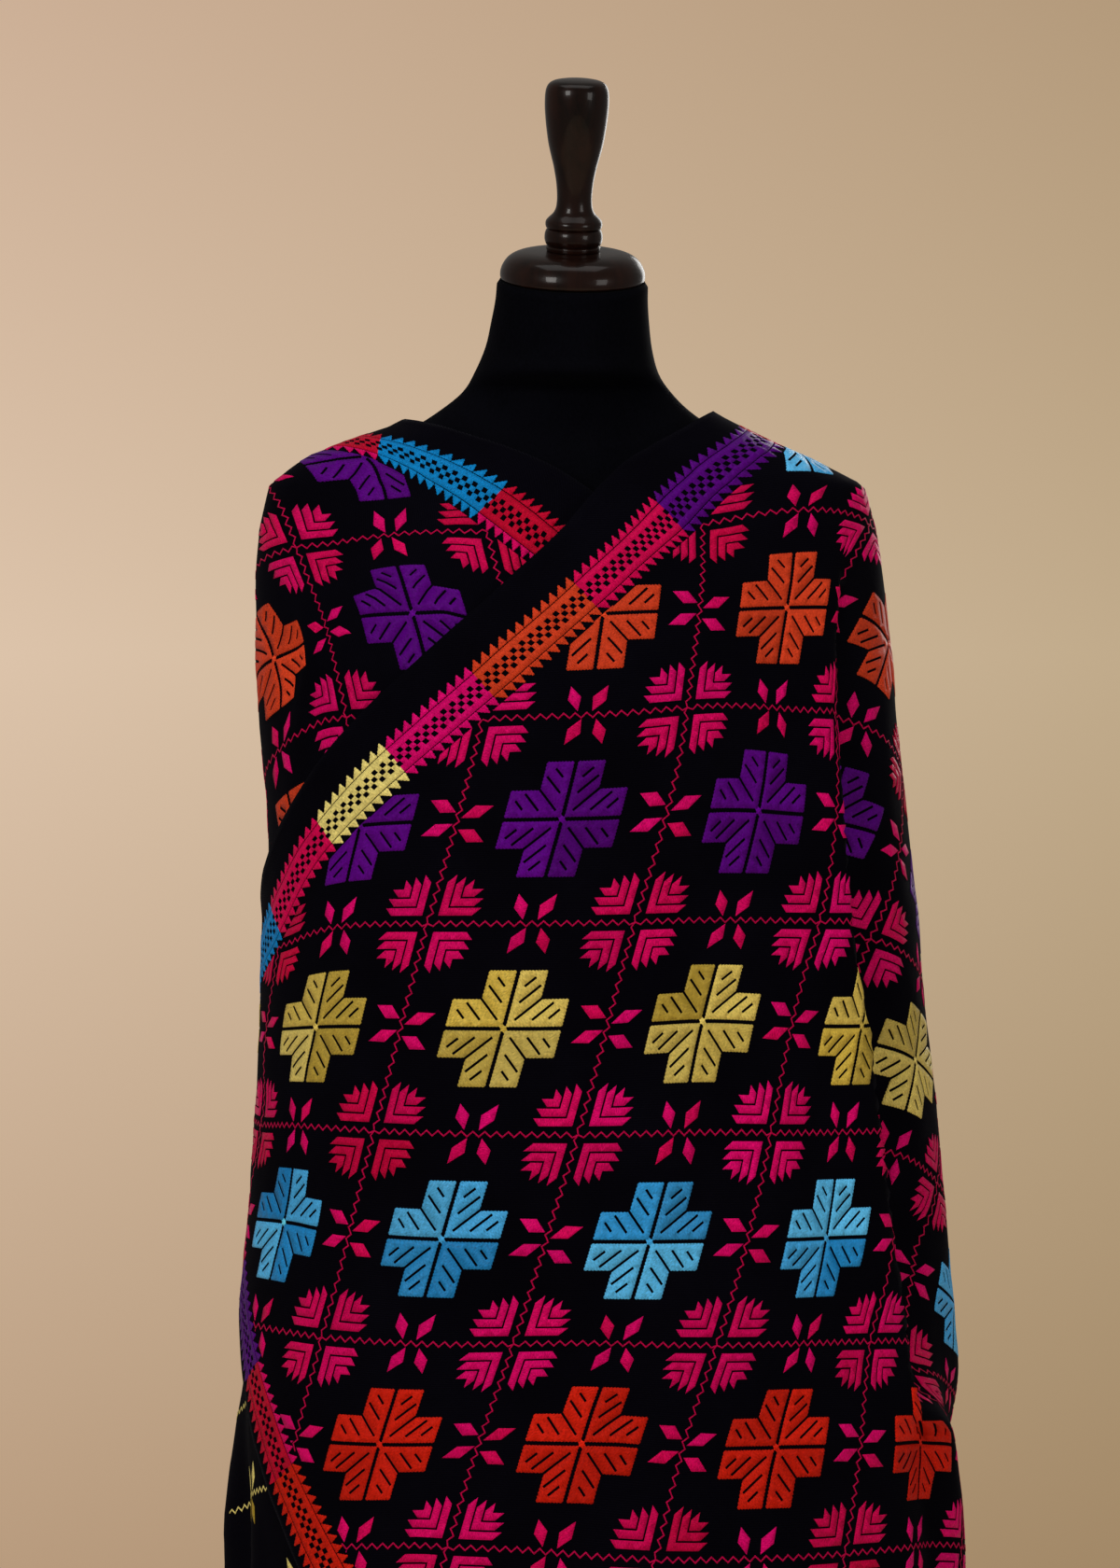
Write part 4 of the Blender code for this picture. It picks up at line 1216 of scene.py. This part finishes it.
def stitch(name, entries, material):
    """One piece: flat triangles laid on the cloth, with the floss's edges and underside."""
    blocks = {}
    for i, j, k, points, tris, colour, thread, lift in entries:
        blocks.setdefault((i, j), []).append((points, tris, colour, thread, lift))
    flat, tri, col, thr, lif = [], [], [], [], []
    count = 0
    for block in blocks.values():
        points = block[0][0]
        used = np.unique(np.concatenate([t.ravel() for _, t, _, _, _ in block]))
        index = np.full(len(points), -1)
        index[used] = np.arange(len(used)) + count
        flat.append(points[used])
        raise_by = np.zeros(len(points))
        for _, t, colour, thread, lift in block:
            tri.append(index[t])
            col.append(np.repeat(np.clip(colour, 0, 1)[None], len(t), 0))
            thr.append(np.full(len(t), thread))
            raise_by[t.ravel()] = np.maximum(raise_by[t.ravel()], lift)
        lif.append(raise_by[used])
        count += len(used)
    flat, tri, col, thr, lif = (np.concatenate(x) for x in (flat, tri, col, thr, lif))
    # weld points shared by neighbouring tiles
    key = np.round(flat / 2e-6).astype(np.int64)
    _, first, inverse = np.unique(key, axis=0, return_index=True, return_inverse=True)
    inverse = inverse.ravel()
    flat, lif = flat[first], lif[first]
    tri = inverse[tri]
    sound = (tri[:, 0] != tri[:, 1]) & (tri[:, 1] != tri[:, 2]) & (tri[:, 0] != tri[:, 2])
    tri, col, thr = tri[sound], col[sound], thr[sound]
    n = len(flat)
    # the cloth's outward side is u x v reversed
    tri = tri[:, ::-1]
    top = on_cloth(flat[:, 0], flat[:, 1], lif)
    low = on_cloth(flat[:, 0], flat[:, 1], np.full(n, 0.00004))
    edges = np.concatenate([tri[:, [0, 1]], tri[:, [1, 2]], tri[:, [2, 0]]])
    face = np.tile(np.arange(len(tri)), 3)
    code = edges[:, 0].astype(np.int64) * n + edges[:, 1]
    back = edges[:, 1].astype(np.int64) * n + edges[:, 0]
    open_edge = ~np.isin(code, back)
    e, ef = edges[open_edge], face[open_edge]
    walls = np.stack([e[:, 1], e[:, 0], e[:, 0] + n, e[:, 1] + n], 1)
    under = tri[:, ::-1] + n
    ob = mesh_object(name, np.concatenate([top, low]), [tri, under, walls], material, smooth_shade=False)
    me = ob.data
    colours = np.concatenate([col, col, col[ef]])
    threads = np.concatenate([thr, thr, thr[ef]])
    sizes = np.concatenate([np.full(len(tri) * 2, 3), np.full(len(walls), 4)])
    if len(me.polygons) == len(sizes):
        corner_colour = np.repeat(colours, sizes, 0)
        attribute = me.color_attributes.new(name="floss", type="FLOAT_COLOR", domain="CORNER")
        attribute.data.foreach_set("color", np.c_[corner_colour, np.ones(len(corner_colour))].astype(np.float32).ravel())
        index = np.empty(len(me.loops), np.int32)
        me.loops.foreach_get("vertex_index", index)
        where = np.concatenate([flat, flat])[index]
        angle = np.repeat(threads, sizes)
        along = where[:, 0] * np.cos(angle) + where[:, 1] * np.sin(angle)
        across = -where[:, 0] * np.sin(angle) + where[:, 1] * np.cos(angle)
        layer = me.uv_layers.new(name="thread")
        layer.data.foreach_set("uv", (np.stack([along, across], 1) * 10.0).astype(np.float32).ravel())
    else:
        print("PATTERN: faces lost in", name, len(me.polygons), len(sizes))
    return ob


# ================================================================ finishes
def nodes_of(material):
    material.use_nodes = True
    tree = material.node_tree
    tree.nodes.clear()
    out = tree.nodes.new("ShaderNodeOutputMaterial")
    shader = tree.nodes.new("ShaderNodeBsdfPrincipled")
    tree.links.new(shader.outputs["BSDF"], out.inputs["Surface"])
    return tree, shader


def node(tree, kind, inputs=None, **settings):
    n = tree.nodes.new(kind)
    for k, v in settings.items():
        setattr(n, k, v)
    for k, v in (inputs or {}).items():
        if isinstance(v, bpy.types.NodeSocket):
            tree.links.new(v, n.inputs[k])
        else:
            n.inputs[k].default_value = v
    return n


def ramp(tree, value, stops):
    n = tree.nodes.new("ShaderNodeValToRGB")
    e = n.color_ramp.elements
    while len(e) < len(stops):
        e.new(0.5)
    for el, (at, colour) in zip(e, stops):
        el.position = at
        el.color = (*colour, 1.0) if len(colour) == 3 else colour
    tree.links.new(value, n.inputs["Fac"])
    return n.outputs["Color"]


def flat_colour(*rgb):
    return tuple(float(x) for x in srgb(*rgb))


def wool_look():
    """Fine black wool: a faint twill, a little nap, and a grey bloom at grazing angles."""
    m = bpy.data.materials.new("wool")
    tree, s = nodes_of(m)
    uv = node(tree, "ShaderNodeUVMap", uv_map="flat").outputs["UV"]
    turned = node(tree, "ShaderNodeMapping", {"Vector": uv, "Rotation": (0, 0, math.radians(52))}).outputs["Vector"]
    twill = node(tree, "ShaderNodeTexWave", {"Vector": turned, "Scale": 215.0, "Distortion": 0.8, "Detail": 2.0, "Detail Scale": 4.0}, wave_type="BANDS", bands_direction="X").outputs["Fac"]
    slub = node(tree, "ShaderNodeTexNoise", {"Vector": uv, "Scale": 9.0, "Detail": 6.0, "Roughness": 0.62}).outputs["Fac"]
    fuzz = node(tree, "ShaderNodeTexNoise", {"Vector": uv, "Scale": 620.0, "Detail": 3.0, "Roughness": 0.7}).outputs["Fac"]
    mix = node(tree, "ShaderNodeMath", {0: slub, 1: 0.55}, operation="MULTIPLY").outputs[0]
    mix = node(tree, "ShaderNodeMath", {0: fuzz, 1: 0.30, 2: mix}, operation="MULTIPLY_ADD").outputs[0]
    mix = node(tree, "ShaderNodeMath", {0: twill, 1: 0.15, 2: mix}, operation="MULTIPLY_ADD").outputs[0]
    colour = ramp(tree, mix, [(0.30, flat_colour(1, 0, 3)), (0.52, flat_colour(3, 2, 8)), (0.78, flat_colour(9, 8, 17))])
    tree.links.new(colour, s.inputs["Base Color"])
    s.inputs["Roughness"].default_value = 0.88
    s.inputs["Specular IOR Level"].default_value = 0.03
    s.inputs["Sheen Weight"].default_value = 0.022
    s.inputs["Sheen Roughness"].default_value = 0.35
    s.inputs["Sheen Tint"].default_value = (0.50, 0.50, 0.62, 1.0)
    height = node(tree, "ShaderNodeMath", {0: fuzz, 1: 0.6, 2: twill}, operation="MULTIPLY_ADD").outputs[0]
    bump = node(tree, "ShaderNodeBump", {"Strength": 0.30, "Distance": 0.0004, "Height": height})
    tree.links.new(bump.outputs["Normal"], s.inputs["Normal"])
    return m


def floss_look(name, shine, tint):
    """Untwisted silk laid in short counted stitches: glossy across the thread."""
    m = bpy.data.materials.new(name)
    tree, s = nodes_of(m)
    dye = node(tree, "ShaderNodeVertexColor", layer_name="floss").outputs["Color"]
    uv = node(tree, "ShaderNodeUVMap", uv_map="thread").outputs["UV"]
    strands = node(tree, "ShaderNodeMapping", {"Vector": uv, "Scale": (52.0, 430.0, 1.0)}).outputs["Vector"]
    strand = node(tree, "ShaderNodeTexNoise", {"Vector": strands, "Scale": 1.0, "Detail": 2.0, "Roughness": 0.6}).outputs["Fac"]
    rows = node(tree, "ShaderNodeMapping", {"Vector": uv, "Scale": (36.0, 150.0, 1.0)}).outputs["Vector"]
    row = node(tree, "ShaderNodeTexNoise", {"Vector": rows, "Scale": 1.0, "Detail": 1.0, "Roughness": 0.5}).outputs["Fac"]
    fine = node(tree, "ShaderNodeMath", {0: strand, 1: 0.66}, operation="MULTIPLY").outputs[0]
    both = node(tree, "ShaderNodeMath", {0: row, 1: 0.34, 2: fine}, operation="MULTIPLY_ADD").outputs[0]
    # Light and dark streaks along the thread, multiplied into the dye: partly the floss's own uneven tone, partly
    # painted glints that lift strands up to 1.6 times the dye.
    shade = node(tree, "ShaderNodeMapRange", {"Value": both, "From Min": 0.33, "From Max": 0.67, "To Min": 0.36, "To Max": 1.62}).outputs["Result"]
    grey = node(tree, "ShaderNodeCombineXYZ", {"X": shade, "Y": shade, "Z": shade}).outputs["Vector"]
    mix = tree.nodes.new("ShaderNodeMix")
    mix.data_type, mix.blend_type = "RGBA", "MULTIPLY"
    mix.inputs[0].default_value = 1.0
    tree.links.new(dye, mix.inputs[6])
    tree.links.new(grey, mix.inputs[7])
    tree.links.new(mix.outputs[2], s.inputs["Base Color"])
    s.inputs["Roughness"].default_value = 0.36
    s.inputs["Specular IOR Level"].default_value = shine
    s.inputs["Specular Tint"].default_value = (*tint, 1.0)
    s.inputs["Anisotropic"].default_value = 0.65
    tangent = node(tree, "ShaderNodeTangent", direction_type="UV_MAP", uv_map="thread").outputs["Tangent"]
    tree.links.new(tangent, s.inputs["Tangent"])
    bump = node(tree, "ShaderNodeBump", {"Strength": 0.70, "Distance": 0.0003, "Height": strand})
    tree.links.new(bump.outputs["Normal"], s.inputs["Normal"])
    return m


def jersey_look():
    m = bpy.data.materials.new("jersey")
    tree, s = nodes_of(m)
    at = node(tree, "ShaderNodeTexCoord").outputs["Object"]
    rib = node(tree, "ShaderNodeMapping", {"Vector": at, "Scale": (520.0, 520.0, 260.0)}).outputs["Vector"]
    knit = node(tree, "ShaderNodeTexNoise", {"Vector": rib, "Scale": 1.0, "Detail": 2.0, "Roughness": 0.6}).outputs["Fac"]
    wide = node(tree, "ShaderNodeTexNoise", {"Vector": at, "Scale": 14.0, "Detail": 3.0}).outputs["Fac"]
    mixed = node(tree, "ShaderNodeMath", {0: knit, 1: 0.6, 2: wide}, operation="MULTIPLY_ADD").outputs[0]
    colour = ramp(tree, mixed, [(0.45, flat_colour(0, 0, 2)), (1.05, flat_colour(4, 4, 9))])
    tree.links.new(colour, s.inputs["Base Color"])
    s.inputs["Roughness"].default_value = 0.85
    s.inputs["Specular IOR Level"].default_value = 0.03
    s.inputs["Sheen Weight"].default_value = 0.012
    s.inputs["Sheen Roughness"].default_value = 0.35
    s.inputs["Sheen Tint"].default_value = (0.55, 0.56, 0.62, 1.0)
    bump = node(tree, "ShaderNodeBump", {"Strength": 0.25, "Distance": 0.0005, "Height": knit})
    tree.links.new(bump.outputs["Normal"], s.inputs["Normal"])
    return m


def dark_wood_look(name, low, high, rough, grain_scale):
    m = bpy.data.materials.new(name)
    tree, s = nodes_of(m)
    at = node(tree, "ShaderNodeTexCoord").outputs["Object"]
    long_grain = node(tree, "ShaderNodeMapping", {"Vector": at, "Scale": grain_scale}).outputs["Vector"]
    grain = node(tree, "ShaderNodeTexNoise", {"Vector": long_grain, "Scale": 1.0, "Detail": 5.0, "Roughness": 0.6, "Distortion": 0.6}).outputs["Fac"]
    colour = ramp(tree, grain, [(0.32, low), (0.70, high)])
    tree.links.new(colour, s.inputs["Base Color"])
    s.inputs["Roughness"].default_value = rough
    s.inputs["Specular IOR Level"].default_value = 0.10
    s.inputs["Coat Weight"].default_value = 0.20
    s.inputs["Coat Roughness"].default_value = 0.05
    bump = node(tree, "ShaderNodeBump", {"Strength": 0.06, "Distance": 0.0006, "Height": grain})
    tree.links.new(bump.outputs["Normal"], s.inputs["Normal"])
    return m


def dark_metal_look():
    m = bpy.data.materials.new("dark_metal")
    tree, s = nodes_of(m)
    at = node(tree, "ShaderNodeTexCoord").outputs["Object"]
    brushed = node(tree, "ShaderNodeMapping", {"Vector": at, "Scale": (90.0, 90.0, 700.0)}).outputs["Vector"]
    line = node(tree, "ShaderNodeTexNoise", {"Vector": brushed, "Scale": 1.0, "Detail": 3.0}).outputs["Fac"]
    colour = ramp(tree, line, [(0.35, flat_colour(22, 21, 21)), (0.70, flat_colour(38, 36, 35))])
    tree.links.new(colour, s.inputs["Base Color"])
    rough = node(tree, "ShaderNodeMapRange", {"Value": line, "To Min": 0.28, "To Max": 0.46}).outputs["Result"]
    tree.links.new(rough, s.inputs["Roughness"])
    s.inputs["Metallic"].default_value = 1.0
    return m

# The form: half-widths at +X and -X, then the depth of the front, side and back
FORM = [
    # z      right   left    front    side     back
    (0.700, 0.150, 0.150, -0.104, 0.000, 0.092),
    (0.704, 0.158, 0.158, -0.110, 0.000, 0.098),
    (0.740, 0.165, 0.165, -0.115, 0.000, 0.103),
    (0.790, 0.167, 0.167, -0.117, 0.000, 0.105),
    (0.840, 0.162, 0.162, -0.114, 0.000, 0.104),
    (0.900, 0.145, 0.145, -0.104, 0.000, 0.092),
    (0.960, 0.127, 0.127, -0.096, 0.000, 0.076),
    (1.020, 0.120, 0.120, -0.098, 0.000, 0.068),
    (1.080, 0.129, 0.129, -0.118, -0.002, 0.078),
    (1.140, 0.143, 0.143, -0.139, -0.006, 0.090),
    (1.190, 0.154, 0.154, -0.143, -0.010, 0.094),
    (1.240, 0.165, 0.166, -0.134, -0.016, 0.090),
    (1.280, 0.173, 0.176, -0.123, -0.022, 0.080),
    (1.310, 0.177, 0.182, -0.113, -0.028, 0.068),
    (1.330, 0.172, 0.180, -0.105, -0.033, 0.056),
    (1.344, 0.155, 0.170, -0.099, -0.036, 0.046),
    (1.357, 0.126, 0.144, -0.094, -0.038, 0.037),
    (1.370, 0.100, 0.113, -0.089, -0.040, 0.026),
    (1.383, 0.081, 0.092, -0.084, -0.041, 0.014),
    (1.395, 0.0690, 0.0770, -0.084, -0.0425, 0.008),
]
# The neck above the shoulders: radius, how far off the middle and forward, and how far it leans
NECK = [
    # z      radius  off      forward  lean
    (1.409, 0.0640, -0.0040, -0.0445, 4.0),
    (1.426, 0.0580, -0.0025, -0.0470, 8.0),
    (1.443, 0.0550, -0.0015, -0.0500, 12.0),
    (1.458, 0.0530, -0.0005, -0.0535, 15.0),
    (1.4685, 0.0525, 0.0000, -0.0560, 15.5),
    (1.4715, 0.0505, 0.0000, -0.0568, 15.5),
]
LEAN = 15.5  # of the cap and the finial, forward, in degrees
CANT = 1.4  # and to the +X side
CAP_SEAT = (0.0, -0.0570, 1.4722)  # the middle of the cap's underside
CAP = [  # radius, height above the seat
    (0.0000, 0.0000), (0.0485, 0.0000), (0.0500, 0.0012), (0.0503, 0.0040), (0.0498, 0.0072),
    (0.0484, 0.0105), (0.0455, 0.0145), (0.0408, 0.0176), (0.0340, 0.0195), (0.0260, 0.0203), (0.0000, 0.0205),
]
FINIAL = [
    (0.0000, 0.0208), (0.0184, 0.0208), (0.0187, 0.0220), (0.0187, 0.0238), (0.0180, 0.0243),
    (0.0190, 0.0253), (0.0200, 0.0283), (0.0201, 0.0305), (0.0197, 0.0335), (0.0187, 0.0355), (0.0180, 0.0361),
    (0.0190, 0.0366), (0.0196, 0.0380), (0.0196, 0.0405), (0.0190, 0.0418), (0.0174, 0.0436),
    (0.0145, 0.0465), (0.0128, 0.0500), (0.0122, 0.0540), (0.0121, 0.0576), (0.0124, 0.0630), (0.0131, 0.0690),
    (0.0141, 0.0745), (0.0152, 0.0798), (0.0166, 0.0850), (0.0180, 0.0905), (0.0192, 0.0960), (0.0201, 0.1018),
    (0.0209, 0.1075), (0.0215, 0.1130), (0.0220, 0.1190), (0.0221, 0.1240), (0.0219, 0.1290), (0.0212, 0.1325),
    (0.0196, 0.1354), (0.0165, 0.1374), (0.0110, 0.1386), (0.0000, 0.1392),
]


# ================================================================ the form
def eased(rows, steps, sharp=()):
    """Rows of numbers with more rows between them on a smooth curve through them (centripetal)."""
    rows = np.asarray(rows, float)
    out = [rows[0]]
    for i in range(len(rows) - 1):
        p1, p2 = rows[i], rows[i + 1]
        p0 = rows[i - 1] if i > 0 and i not in sharp else 2 * p1 - p2
        p3 = rows[i + 2] if i + 2 < len(rows) and i + 1 not in sharp else 2 * p2 - p1
        t0 = 0.0
        t1 = t0 + math.sqrt(max(np.linalg.norm(p1 - p0), 1e-9))
        t2 = t1 + math.sqrt(max(np.linalg.norm(p2 - p1), 1e-9))
        t3 = t2 + math.sqrt(max(np.linalg.norm(p3 - p2), 1e-9))
        for k in range(1, steps + 1):
            t = t1 + (t2 - t1) * k / steps
            a1 = p0 * (t1 - t) / (t1 - t0) + p1 * (t - t0) / (t1 - t0)
            a2 = p1 * (t2 - t) / (t2 - t1) + p2 * (t - t1) / (t2 - t1)
            a3 = p2 * (t3 - t) / (t3 - t2) + p3 * (t - t2) / (t3 - t2)
            b1 = a1 * (t2 - t) / (t2 - t0) + a2 * (t - t0) / (t2 - t0)
            b2 = a2 * (t3 - t) / (t3 - t1) + a3 * (t - t1) / (t3 - t1)
            out.append(b1 * (t2 - t) / (t2 - t1) + b2 * (t - t1) / (t2 - t1))
    return np.array(out)


def lofted(name, rings, low, high, material):
    """A closed body through rings of points, with a point to close each end."""
    n = rings.shape[1]
    points = np.concatenate([rings.reshape(-1, 3), [low], [high]])
    k = np.arange(len(rings) * n).reshape(len(rings), n)
    turned_k = np.roll(k, -1, 1)
    quads = np.stack([k[:-1], turned_k[:-1], turned_k[1:], k[1:]], -1).reshape(-1, 4)
    foot = np.stack([turned_k[0], k[0], np.full(n, len(points) - 2)], -1)
    head = np.stack([k[-1], turned_k[-1], np.full(n, len(points) - 1)], -1)
    ob = mesh_object(name, points, [quads, foot, head], material)
    ob.data.set_sharp_from_angle(angle=math.radians(50.0))
    return ob


def leaned(points, seat, lean, cant):
    a, b = math.radians(lean), math.radians(cant)
    x, y, z = points[..., 0], points[..., 1], points[..., 2]
    x, z = x * math.cos(b) + z * math.sin(b), -x * math.sin(b) + z * math.cos(b)
    y, z = y * math.cos(a) - z * math.sin(a), y * math.sin(a) + z * math.cos(a)
    return np.stack([x, y, z], -1) + np.asarray(seat)


def turned_wood(name, profile, material, sides=80):
    """A turned piece of the form's top, its profile eased between the rows."""
    rows = eased(profile[1:-1], 4, sharp=(0,))
    t = np.arange(sides) / sides * 2.0 * math.pi
    rings = np.stack([rows[:, :1] * np.cos(t), rows[:, :1] * np.sin(t), np.broadcast_to(rows[:, 1:], (len(rows), sides))], -1)
    ends = leaned(np.array([[0.0, 0.0, profile[0][1]], [0.0, 0.0, profile[-1][1]]]), CAP_SEAT, LEAN, CANT)
    return lofted(name, leaned(rings, CAP_SEAT, LEAN, CANT), ends[0], ends[1], material)


def bodice(material, sides=96):
    """The jersey body: the form's rings, eased up into the neck."""
    t = np.arange(sides) / sides * 2.0 * math.pi
    c, s = np.cos(t), np.sin(t)
    rings = []
    for z, right, left, front, side, back in FORM:
        power = 2.0 / 2.15
        wide, deep = np.where(c >= 0, right, left), np.where(s >= 0, back - side, side - front)
        rings.append(np.stack([wide * np.sign(c) * np.abs(c) ** power, side + deep * np.sign(s) * np.abs(s) ** power, np.full(sides, z)], -1))
    for z, radius, off, forward, lean in NECK:
        rings.append(leaned(np.stack([radius * c, radius * s, 0.0 * c], -1), (off, forward, z), lean, CANT * lean / LEAN))
    rings = np.array(rings)
    steps = 4
    smooth_rings = eased(rings.reshape(len(rings), -1), steps, sharp=(0, len(rings) - 2)).reshape(-1, sides, 3)
    return lofted("bodice", smooth_rings, smooth_rings[0].mean(0), smooth_rings[-1].mean(0), material)


# ================================================================ the pieces
WOOL = wool_look()
FLOSS_LOOK = floss_look("silk_floss", 0.05, (1.0, 0.62, 0.72))
FLOSS_GOLD = floss_look("silk_floss_gold", 0.30, (1.0, 0.88, 0.52))
FLOSS_BLUE = floss_look("silk_floss_blue", 0.30, (0.62, 0.88, 1.0))

cloth = build_cloth(WOOL)
families = {}
lay_lattice(families)
for edge in ("v0", "v1", "u0", "u1"):
    lay_band(families, edge)
lay_gap_motif(families)
OWN_LOOK = {"flowers_gold": FLOSS_GOLD, "flowers_blue": FLOSS_BLUE}
stitched = [stitch("stitching_" + name, entries, OWN_LOOK.get(name, FLOSS_LOOK)) for name, entries in sorted(families.items())]

for piece in (cloth, *stitched):
    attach(piece, "root")
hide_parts("shawl_over", "shawl_back", "shawl_under")

JERSEY = jersey_look()
WOOD = dark_wood_look("dark_wood", flat_colour(11, 4, 2), flat_colour(33, 15, 9), 0.28, (60.0, 60.0, 9.0))
METAL = dark_metal_look()
for piece, node_name, slot_name in (
    (bodice(JERSEY), "form_torso", "jersey"),
    (turned_wood("neck_cap", CAP, WOOD), "form_neck_cap", "dark_wood"),
    (turned_wood("finial", FINIAL, WOOD), "form_finial", "dark_wood"),
):
    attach(piece, "root")
    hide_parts(node_name)
for name, look, slot_name in (
    ("form_collar", WOOD, "dark_wood"),
    ("form_base", WOOD, "dark_wood"),
    ("form_pole", METAL, "dark_metal"),
):
    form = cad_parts[name]
    form.data.materials.clear()
    form.data.materials.append(look)

# ================================================================ studio
def floor_look():
    m = bpy.data.materials.new("floor")
    tree, s = nodes_of(m)
    at = node(tree, "ShaderNodeTexCoord").outputs["Object"]
    cloud = node(tree, "ShaderNodeTexNoise", {"Vector": at, "Scale": 1.4, "Detail": 2.0}).outputs["Fac"]
    tree.links.new(ramp(tree, cloud, [(0.3, flat_colour(221, 205, 182)), (0.7, flat_colour(226, 210, 188))]), s.inputs["Base Color"])
    s.inputs["Roughness"].default_value = 0.9
    s.inputs["Specular IOR Level"].default_value = 0.15
    return m


def floor_disc(radius=2.6, sides=96):
    t = np.arange(sides) / sides * 2.0 * math.pi
    points = np.concatenate([np.stack([radius * np.cos(t), radius * np.sin(t), 0.0 * t], -1), [[0.0, 0.0, 0.0]]])
    k = np.arange(sides)
    return mesh_object("floor", points, [np.stack([k, (k + 1) % sides, np.full(sides, sides)], -1)], floor_look(), smooth_shade=False)


floor_disc()


def light(name, at, toward, size, power, colour, spread=180.0):
    data = bpy.data.lights.new(name, "AREA")
    data.shape = "RECTANGLE"
    data.size, data.size_y = size
    data.energy = power
    data.color = colour
    data.spread = math.radians(spread)
    ob = bpy.data.objects.new(name, data)
    ob.location = at
    ob.rotation_euler = (Vector(toward) - Vector(at)).to_track_quat("-Z", "Y").to_euler()
    SCENE.collection.objects.link(ob)
    return ob


light("key", (-1.7, -2.7, 2.2), (0.0, 0.0, 1.1), (0.9, 1.5), 50.0, (1.0, 0.98, 0.95))
light("fill", (2.4, -2.3, 1.6), (0.0, 0.0, 1.1), (1.0, 1.6), 22.0, (1.0, 0.97, 0.93))
light("top", (0.0, -0.4, 3.3), (0.0, 0.1, 1.0), (2.0, 1.2), 12.0, (1.0, 0.98, 0.96))
light("back", (1.2, 2.9, 2.1), (0.0, 0.0, 1.1), (1.2, 1.6), 17.0, (1.0, 0.98, 0.95))

world = bpy.data.worlds.new("studio")
world.use_nodes = True
SCENE.world = world


def backdrop_painted_light(tree):
    """The studio's warm paper, far off, with its light painted in: painted light palest at mid height, and painted
    shade a little dimmer and warmer to +X.
    """
    way = node(tree, "ShaderNodeSeparateXYZ", {0: node(tree, "ShaderNodeTexCoord").outputs["Generated"]})
    up = node(tree, "ShaderNodeMapRange", {"Value": way.outputs["Z"], "From Min": -0.2, "From Max": 0.2}).outputs["Result"]
    across = node(tree, "ShaderNodeMapRange", {"Value": way.outputs["X"], "From Min": -0.12, "From Max": 0.12}).outputs["Result"]
    # painted light: the paper brightest at mid height and darker above and below
    paper = ramp(tree, up, [(0.0, flat_colour(180, 150, 120)), (0.55, flat_colour(220, 195, 170)), (1.0, flat_colour(200, 170, 145))])
    # painted shade: dimmer and warmer towards +X
    mix = tree.nodes.new("ShaderNodeMix")
    mix.data_type = "RGBA"
    mix.blend_type = "MULTIPLY"
    tree.links.new(across, mix.inputs[0])
    tree.links.new(paper, mix.inputs[6])
    mix.inputs[7].default_value = (0.75, 0.75, 0.65, 1.0)
    return mix.outputs[2]


tree = world.node_tree
room = tree.nodes["Background"]
room.inputs["Color"].default_value = (0.92, 0.88, 0.83, 1.0)
room.inputs["Strength"].default_value = 0.24
# The camera sees this backdrop with its painted light; every other ray sees the room's plain light.
painted_backdrop = node(tree, "ShaderNodeBackground", {"Color": backdrop_painted_light(tree), "Strength": 1.0})
either = node(tree, "ShaderNodeMixShader", {0: node(tree, "ShaderNodeLightPath").outputs["Is Camera Ray"], 1: room.outputs[0], 2: painted_backdrop.outputs[0]})
tree.links.new(either.outputs[0], tree.nodes["World Output"].inputs["Surface"])

SCENE.view_settings.view_transform = "Standard"
SCENE.view_settings.look = "None"

# ================================================================ camera
camera_data = bpy.data.cameras.new("camera")
camera_data.sensor_fit = "AUTO"
camera_data.sensor_width = 36.0
camera_data.lens = 103.9
camera_data.clip_start, camera_data.clip_end = 0.05, 60.0
camera = bpy.data.objects.new("camera", camera_data)
camera.location = (-0.0086, -3.2, 1.15)
camera.rotation_euler = (math.pi / 2 - math.atan2(1.15 - 1.122, 3.2), 0.0, 0.0)
SCENE.collection.objects.link(camera)
SCENE.camera = camera
